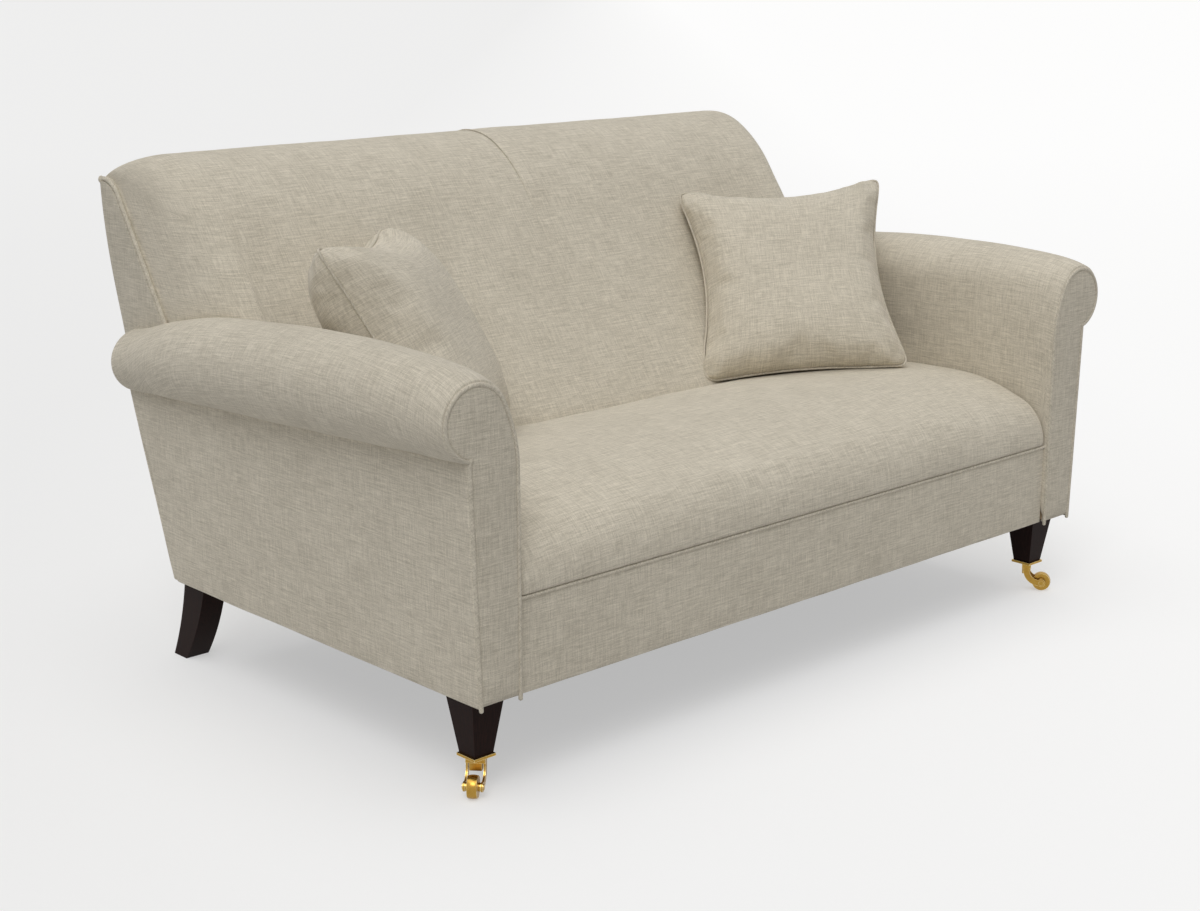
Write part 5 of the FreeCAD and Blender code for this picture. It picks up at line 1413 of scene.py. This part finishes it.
def pillow_mesh(name, share):
    """Two faces of cloth on a square grid, sewn at the rim, crowned to a share of their full height."""
    c = cushions()
    cells = c.cells
    points = []
    flats = []
    index = {}
    faces = []
    sewn = []

    def grid_place(i, j):
        s = math.sin((i / cells - 0.5) * math.pi)
        t = math.sin((j / cells - 0.5) * math.pi)
        return s * 0.35 + (2 * i / cells - 1) * 0.65, t * 0.35 + (2 * j / cells - 1) * 0.65

    for layer, crown, fullness in ((1, c.front, 0.44), (-1, -c.rear, 0.38)):
        for i in range(cells + 1):
            for j in range(cells + 1):
                s, t = grid_place(i, j)
                rim = max(abs(s), abs(t)) > 1 - 1e-9
                if layer < 0 and rim:
                    index[layer, i, j] = index[1, i, j]
                    continue
                dome = (max(1 - abs(s) ** 2.4, 0.0) * max(1 - abs(t) ** 2.4, 0.0)) ** fullness
                out = 4 * dome * (1 - dome) * c.over
                swell = Vector((s ** 9 * (1 - t * t), t ** 9 * (1 - s * s), 0.0)) * out
                index[layer, i, j] = len(points)
                points.append(seam_place(s, t) + swell + Vector((0, 0, crown * share * dome)))
                flats.append((s * c.side / 2, t * c.side / 2))
                if rim:
                    sewn.append(len(points) - 1)
        for i in range(cells):
            for j in range(cells):
                face = [index[layer, i, j], index[layer, i + 1, j], index[layer, i + 1, j + 1],
                        index[layer, i, j + 1]]
                faces.append(face if layer > 0 else face[::-1])
    mesh = bpy.data.meshes.new(name)
    mesh.from_pydata([tuple(p) for p in points], [], faces)
    weave = mesh.uv_layers.new(name="weave")
    for polygon in mesh.polygons:
        for loop in polygon.loop_indices:
            weave.data[loop].uv = flats[mesh.loops[loop].vertex_index]
    rim_order = [index[1, i, 0] for i in range(cells)]
    rim_order += [index[1, cells, j] for j in range(cells)]
    rim_order += [index[1, i, cells] for i in range(cells, 0, -1)]
    rim_order += [index[1, 0, j] for j in range(cells, 0, -1)]
    return mesh, sewn, rim_order


def fill_with_cloth(obj, sewn, most):
    """Blow the sewn cover up with Cloth, move no point further than the most, and keep the result."""
    scene = bpy.context.scene
    group = obj.vertex_groups.new(name="seam")
    group.add(sewn, 1.0, "REPLACE")
    cloth = obj.modifiers.new("cloth", "CLOTH")
    settings = cloth.settings
    settings.quality = 6
    settings.mass = 0.25
    settings.tension_stiffness = 12.0
    settings.compression_stiffness = 8.0
    settings.shear_stiffness = 4.0
    settings.bending_stiffness = 0.15
    settings.air_damping = 3.0
    settings.use_pressure = True
    settings.uniform_pressure_force = cushions().pressure
    settings.vertex_group_mass = "seam"
    settings.shrink_min = -0.035
    settings.effector_weights.gravity = 0.0
    cloth.collision_settings.use_collision = False
    cloth.point_cache.frame_start = 1
    cloth.point_cache.frame_end = CLOTH_FRAMES
    for number in range(1, CLOTH_FRAMES + 1):
        scene.frame_set(number)
    blown = obj.evaluated_get(bpy.context.evaluated_depsgraph_get())
    places = [vertex.co.copy() for vertex in blown.data.vertices]
    obj.modifiers.remove(cloth)
    scene.frame_set(1)
    for vertex, place in zip(obj.data.vertices, places):
        move = place - vertex.co
        if move.length > most:
            move *= most / move.length
        vertex.co = vertex.co + move
    obj.data.update()


class SOFA_OT_cushions(bpy.types.Operator):
    """Make the two filled and piped scatter cushions"""

    bl_idname = "sofa.cushions"
    bl_label = "Scatter Cushions"

    def execute(self, context):
        c = cushions()
        # Painted light: the cushions' cloth is made a little lighter, to stand in for the light they catch
        cloth = linen("linen_cushion_painted_light", along="U", tone=1.03)
        piping_cloth = linen("linen_piping", bias=True)
        for number, (side, sign) in enumerate(SIDES):
            name = "cushion_cover_" + side
            share = c.plump if sign > 0 else 1.0
            mesh, sewn, rim = pillow_mesh(name, 0.96 * share)
            cover = finish_mesh(name, mesh, 0)
            ripple(cover, 2.0 * MM, 14.0, 91.0 + 3 * number, off_the_seam)
            fill_with_cloth(cover, sewn, c.slack)
            keep_inside(cover, share)
            lean, shift = (c.wedged_lean, c.wedged) if sign < 0 else (c.lean, (0, 0, 0))
            place = cushion_matrix(lean, shift)
            lean_on(cover, place)
            line = [cover.data.vertices[i].co.copy() for i in rim]
            if sign < 0:
                place = Matrix.Scale(-1, 4, (1, 0, 0)) @ place
            outward = [p - Vector((p.x, p.y, 0)).normalized() * c.tucked for p in line]
            path = [place @ p for p in resampled(outward + [outward[0]], 3 * MM)[:-1]]
            cover.data.transform(place)
            if sign < 0:
                cover.data.flip_normals()
            subdivide(cover, 1)
            dress(cover, cloth, ["scatter_cushion_" + side], "cushion_" + side)
            piping = cord("cushion_piping_cord_" + side, path, c.piping, closed=True, seed=95.0 + number)
            dress(piping, piping_cloth, ["cushion_piping_" + side], "cushion_" + side)
        return {"FINISHED"}


def off_the_seam(point):
    """Ripples fade out at the seam of a cushion."""
    return min(abs(point.z) / 0.03, 1.0)


def keep_inside(cover, share):
    """Hold the filled cushion to its share of the crown in front and behind."""
    c = cushions()
    for vertex in cover.data.vertices:
        limit = share * (c.front if vertex.co.z > 0 else c.rear)
        over = abs(vertex.co.z) / limit
        if over > 0.8:
            eased = 0.8 + 0.2 * math.tanh((over - 0.8) / 0.2)
            vertex.co.z = math.copysign(eased * limit, vertex.co.z)
    cover.data.update()


def lean_on(cover, place):
    """Flatten a cushion where it rests on the back, the arm and the seat."""
    a, s, b = arms(), seat(), back()
    centre, big, meet = inner_curve(facing_circle())
    home = place.inverted()
    clear = 1.5 * MM
    slope = Vector((0.0, -math.cos(b.rake), math.sin(b.rake)))
    seat_top = seat_line(0.7)
    for vertex in cover.data.vertices:
        point = place @ vertex.co
        depth = point.y - at(0, 0, 0).y
        into_back = (depth - inside_depth(point.z)) * math.cos(b.rake) + clear
        if into_back > 0:
            point += slope * into_back
        if point.z <= a.straight:
            point.x = min(point.x, a.inner - clear)
        else:
            way = Vector((point.x - centre, 0.0, point.z - a.straight))
            if way.length < big + clear and point.x < centre:
                point += way.normalized() * (big + clear - way.length)
        top = height_on(seat_top, point.y - at(0, 0, 0).y) + clear
        point.z = max(point.z, top)
        vertex.co = home @ point
    cover.data.update()


def height_on(line, depth):
    """Height of a line of depths and heights at a depth."""
    for (d0, z0), (d1, z1) in zip(line, line[1:]):
        if d0 <= depth < d1:
            return z0 + (z1 - z0) * (depth - d0) / (d1 - d0)
    return line[-1][1]


# Legs, castors and the frame inside


def give(node, material, bevel=0.0, segments=2):
    """Finish a node of the frame, with eased arrises where it has them."""
    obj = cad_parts[node]
    if not obj.material_slots:
        obj.data.materials.append(material)
    for place in obj.material_slots:
        place.material = material
    if bevel:
        arris = obj.modifiers.new("arris", "BEVEL")
        arris.width = bevel
        arris.segments = segments
        arris.limit_method = "ANGLE"
        arris.angle_limit = math.radians(35.0)


class SOFA_OT_legs(bpy.types.Operator):
    """Finish the legs and the brass castors"""

    bl_idname = "sofa.legs"
    bl_label = "Legs and Castors"

    def execute(self, context):
        wood = leg_wood()
        cast = polished_brass("polished_brass")
        turned = polished_brass("turned_brass", rough=0.26)
        screws = polished_brass("screw_brass", rough=0.36, tone=0.85)
        for side, sign in SIDES:
            give("front_leg_" + side, wood, 1.6 * MM, 3)
            give("rear_leg_" + side, wood, 1.8 * MM, 3)
            give("castor_horn_" + side, cast, 0.7 * MM)
            give("castor_axle_" + side, cast, 0.4 * MM)
            give("castor_wheel_" + side, turned, 0.8 * MM, 3)
        give("castor_plates", cast, 0.7 * MM)
        give("castor_pintles", cast, 0.4 * MM)
        give("castor_screws", screws)
        return {"FINISHED"}


class SOFA_OT_castor_aprons(bpy.types.Operator):
    """Make the cast apron between the horn arms of each castor, under the bridge"""

    bl_idname = "sofa.castor_aprons"
    bl_label = "Castor Aprons"

    def execute(self, context):
        cast = polished_brass("apron_brass")
        pin = (high("castor_pintles", 1) - low("castor_pintles", 1)) / 2
        for side, sign in SIDES:
            swivel = Vector((high("castor_pintles", 0) - pin, high("castor_pintles", 1) - pin, 0.0))
            swivel.x *= sign
            axle = "castor_axle_" + side
            trail = Vector([(low(axle, n) + high(axle, n)) / 2 for n in (0, 1)] + [0.0]) - swivel
            top = high("castor_horn_" + side, 2) - 9 * MM
            place = Matrix.Translation(swivel + Vector((0, 0, top - APRON[2] / 2)))
            place = place @ Matrix.Rotation(math.atan2(trail.y, trail.x), 4, "Z")
            corners = [Vector((x, y, z)) for x in (-0.5, 0.5) for y in (-0.5, 0.5) for z in (-0.5, 0.5)]
            points = [place @ Vector([v * size for v, size in zip(corner, APRON)]) for corner in corners]
            faces = [(0, 1, 3, 2), (4, 6, 7, 5), (0, 4, 5, 1), (2, 3, 7, 6), (0, 2, 6, 4), (1, 5, 7, 3)]
            mesh = bpy.data.meshes.new("castor_apron_" + side)
            mesh.from_pydata([tuple(p) for p in points], [], faces)
            apron = bpy.data.objects.new("castor_apron_" + side, mesh)
            context.scene.collection.objects.link(apron)
            arris = apron.modifiers.new("arris", "BEVEL")
            arris.width = 1.2 * MM
            arris.segments = 3
            dress(apron, cast, [], "castor_" + side)
        return {"FINISHED"}


class SOFA_OT_inner_frame(bpy.types.Operator):
    """Finish the hidden timber frame, springs, webbing and linings"""

    bl_idname = "sofa.inner_frame"
    bl_label = "Inner Frame"

    def execute(self, context):
        light, dark = (0.56, 0.41, 0.26), (0.40, 0.27, 0.15)
        across = sawn_timber("hardwood_across", light, dark, "X")
        along = sawn_timber("hardwood_along", light, dark, "Y")
        upright = sawn_timber("hardwood_upright", light, dark, "Z")
        birch = sawn_timber("birch_plywood", (0.66, 0.51, 0.34), (0.52, 0.37, 0.22), "Z", rings=0.5)
        steel = zinc_steel()
        for node in ("front_seat_rail", "rear_seat_rail", "spring_rail", "back_top_rail", "corner_blocks"):
            give(node, across, 1 * MM)
        give("centre_stretcher", along, 1 * MM)
        give("back_centre_cheek", birch)
        for side, sign in SIDES:
            give("side_seat_rail_" + side, along, 1 * MM)
            give("arm_top_board_" + side, along, 1 * MM)
            give("arm_rear_post_" + side, upright, 1 * MM)
            give("arm_front_board_" + side, birch)
            give("back_cheek_" + side, birch)
        for node in ("seat_springs", "spring_clips", "leg_bolts"):
            give(node, steel)
        webbing = woven("elastic_webbing", (0.16, 0.13, 0.11), (0.06, 0.05, 0.045), 420.0)
        hessian = woven("hessian", (0.50, 0.37, 0.22), (0.27, 0.19, 0.10), 300.0, relief=0.8)
        lining = woven("dust_cloth", (0.035, 0.035, 0.036), (0.012, 0.012, 0.013), 700.0, relief=0.3)
        give("back_webbing", webbing)
        give("seat_platform", hessian)
        give("dust_cover", lining)
        return {"FINISHED"}


# Stage


class SofaStageSizes(bpy.types.PropertyGroup):
    """Camera and light."""

    lens: factor("Lens", 59.06, "Focal length in millimetres")
    turn: angle("Camera turn", 42.953, "Camera turned from the back of the sofa to its right")
    drop: angle("Camera drop", 14.437, "Camera looking down")
    roll: angle("Camera roll", -0.136)
    camera: FloatVectorProperty(name="Camera place", description="Camera place", unit="LENGTH",
                                default=(-2.5558, -2.7049, 1.2870))
    sky: factor("Sky", 0.345, "Strength of the even light")
    key: factor("Key", 1.02, "Strength of the light overhead")
    side: factor("Side", 0.80, "Strength of the light at the left")
    spread: angle("Key spread", 60.0, "Width of the light overhead")
    side_spread: angle("Side spread", 30.0, "Width of the light at the left")
    bounce: factor("Floor bounce", 0.62, "Share of light that the floor gives back")
    lift: factor("Shadow lift", 0.46, "How far the floor's shadow is lightened")
    reach: length("Floor reach", 90.0, "Half width of the floor")


def camera_matrix(stage):
    """Place of the camera, turned, dropped and rolled."""
    level = math.cos(stage.drop)
    forward = Vector((math.sin(stage.turn) * level, math.cos(stage.turn) * level, -math.sin(stage.drop)))
    right = Vector((math.cos(stage.turn), -math.sin(stage.turn), 0.0))
    up = right.cross(forward)
    rolled_right = right * math.cos(stage.roll) + up * math.sin(stage.roll)
    rolled_up = up * math.cos(stage.roll) - right * math.sin(stage.roll)
    basis = Matrix((rolled_right, rolled_up, -forward)).transposed().to_4x4()
    return Matrix.Translation(Vector(stage.camera)) @ basis


def floor_material(stage):
    """Pale floor with painted shade making it a little darker to the left, whose own painted light softens
    the shadow.
    """
    n = Nodes("pale_floor")
    place = n.add("ShaderNodeTexCoord").outputs["Object"]
    split = n.add("ShaderNodeSeparateXYZ", {0: place})
    side = n.math("SUBTRACT", n.math("MULTIPLY", split.outputs[0], math.cos(stage.turn)),
                  n.math("MULTIPLY", split.outputs[1], math.sin(stage.turn)))
    away = n.math("ADD", n.math("MULTIPLY", split.outputs[0], math.sin(stage.turn)),
                  n.math("MULTIPLY", split.outputs[1], math.cos(stage.turn)))
    # Painted shade: the floor's colour falls off to the left and towards the near side, as the light falls
    # off
    painted_shade_drift = n.math("ADD", n.ramp(side, -1.6, 1.6, 0.0, 0.75), n.ramp(away, 0.0, 9.0, 0.0, 0.25))
    glow = n.mix(painted_shade_drift, (0.835, 0.835, 0.835, 1.0), (1.0, 1.0, 1.0, 1.0))
    rays = n.add("ShaderNodeLightPath")
    seen = n.math("MAXIMUM", rays.outputs["Is Camera Ray"], rays.outputs["Is Glossy Ray"])
    seen = n.math("MAXIMUM", seen, rays.outputs["Is Transmission Ray"])
    grey = rgba([stage.bounce] * 3)
    diffuse = n.add("ShaderNodeBsdfDiffuse", {"Color": n.mix(seen, grey, glow)})
    light = n.add("ShaderNodeEmission", {"Color": glow, "Strength": 1.12})
    share = n.math("MULTIPLY", seen, stage.lift)
    mixed = n.add("ShaderNodeMixShader", {0: share, 1: diffuse.outputs[0], 2: light.outputs[0]})
    n.tree.links.new(mixed.outputs[0], n.output.inputs[0])
    return n.material


class SOFA_OT_stage(bpy.types.Operator):
    """Make the floor, the lights and the camera"""

    bl_idname = "sofa.stage"
    bl_label = "Stage"

    def execute(self, context):
        stage = context.scene.sofa_stage
        reach = stage.reach
        mesh = bpy.data.meshes.new("floor")
        corners = [(-reach, -reach, 0), (reach, -reach, 0), (reach, reach, 0), (-reach, reach, 0)]
        mesh.from_pydata(corners, [], [(0, 1, 2, 3)])
        floor = bpy.data.objects.new("floor", mesh)
        context.scene.collection.objects.link(floor)
        mesh.materials.append(floor_material(stage))

        lamps = (
            ("overhead", stage.key, stage.spread, Vector((-0.10, 0.0, 1.0))),
            ("left_side", stage.side, stage.side_spread, Vector((-0.62, -0.48, 0.95))),
        )
        for name, strength, width, source in lamps:
            lamp = bpy.data.lights.new(name, "SUN")
            lamp.energy = strength
            lamp.angle = width
            sun = bpy.data.objects.new(name, lamp)
            sun.rotation_euler = source.to_track_quat("Z", "Y").to_euler()
            context.scene.collection.objects.link(sun)

        world = bpy.data.worlds.new("studio")
        context.scene.world = world
        world.use_nodes = True
        nodes = world.node_tree.nodes
        links = world.node_tree.links
        nodes.clear()
        output = nodes.new("ShaderNodeOutputWorld")
        rays = nodes.new("ShaderNodeLightPath")
        mixed = nodes.new("ShaderNodeMixShader")
        even = nodes.new("ShaderNodeBackground")
        even.inputs[0].default_value = (1.0, 0.99, 0.97, 1.0)
        even.inputs[1].default_value = stage.sky
        seen = nodes.new("ShaderNodeBackground")
        seen.inputs[0].default_value = (0.93, 0.93, 0.93, 1.0)
        either = nodes.new("ShaderNodeMath")
        either.operation = "MAXIMUM"
        links.new(rays.outputs["Is Camera Ray"], either.inputs[0])
        links.new(rays.outputs["Is Glossy Ray"], either.inputs[1])
        links.new(either.outputs[0], mixed.inputs[0])
        links.new(even.outputs[0], mixed.inputs[1])
        links.new(seen.outputs[0], mixed.inputs[2])
        links.new(mixed.outputs[0], output.inputs[0])

        camera = bpy.data.cameras.new("camera")
        camera.lens = stage.lens
        camera.sensor_width = 36.0
        camera.sensor_fit = "HORIZONTAL"
        camera.clip_end = 400.0
        viewer = bpy.data.objects.new("camera", camera)
        viewer.matrix_world = camera_matrix(stage)
        context.scene.collection.objects.link(viewer)
        context.scene.camera = viewer
        context.scene.view_settings.view_transform = "Standard"
        return {"FINISHED"}


OPERATORS = (
    SOFA_OT_stage, SOFA_OT_arm_covers, SOFA_OT_outside_arms, SOFA_OT_arm_facings, SOFA_OT_arm_piping,
    SOFA_OT_border, SOFA_OT_seat, SOFA_OT_inside_back, SOFA_OT_back_sides, SOFA_OT_outside_back,
    SOFA_OT_cushions, SOFA_OT_legs, SOFA_OT_castor_aprons, SOFA_OT_inner_frame,
)

SIZE_GROUPS = (
    ("sofa_arms", SofaArmSizes), ("sofa_seat", SofaSeatSizes), ("sofa_back", SofaBackSizes),
    ("sofa_cushions", SofaCushionSizes), ("sofa_colours", SofaColours), ("sofa_stage", SofaStageSizes),
)


class SOFA_PT_panel(bpy.types.Panel):
    """Sizes and buttons of the sofa"""

    bl_label = "Roll Arm Sofa"
    bl_idname = "SOFA_PT_panel"
    bl_space_type = "VIEW_3D"
    bl_region_type = "UI"
    bl_category = "Sofa"

    def draw(self, context):
        for group, kind in SIZE_GROUPS:
            box = self.layout.box()
            box.label(text=kind.__doc__)
            for name in kind.__annotations__:
                box.prop(getattr(context.scene, group), name)
        for operator in OPERATORS:
            self.layout.operator(operator.bl_idname)


def register():
    for group, kind in SIZE_GROUPS:
        bpy.utils.register_class(kind)
        setattr(bpy.types.Scene, group, PointerProperty(type=kind))
    for kind in OPERATORS + (SOFA_PT_panel,):
        bpy.utils.register_class(kind)


def unregister():
    for kind in (SOFA_PT_panel,) + OPERATORS[::-1]:
        bpy.utils.unregister_class(kind)
    for group, kind in reversed(SIZE_GROUPS):
        delattr(bpy.types.Scene, group)
        bpy.utils.unregister_class(kind)


def main():
    """Register and run every operator in order."""
    register()
    for operator in OPERATORS:
        group, name = operator.bl_idname.split(".")
        getattr(getattr(bpy.ops, group), name)()


if __name__ == "__main__":
    main()
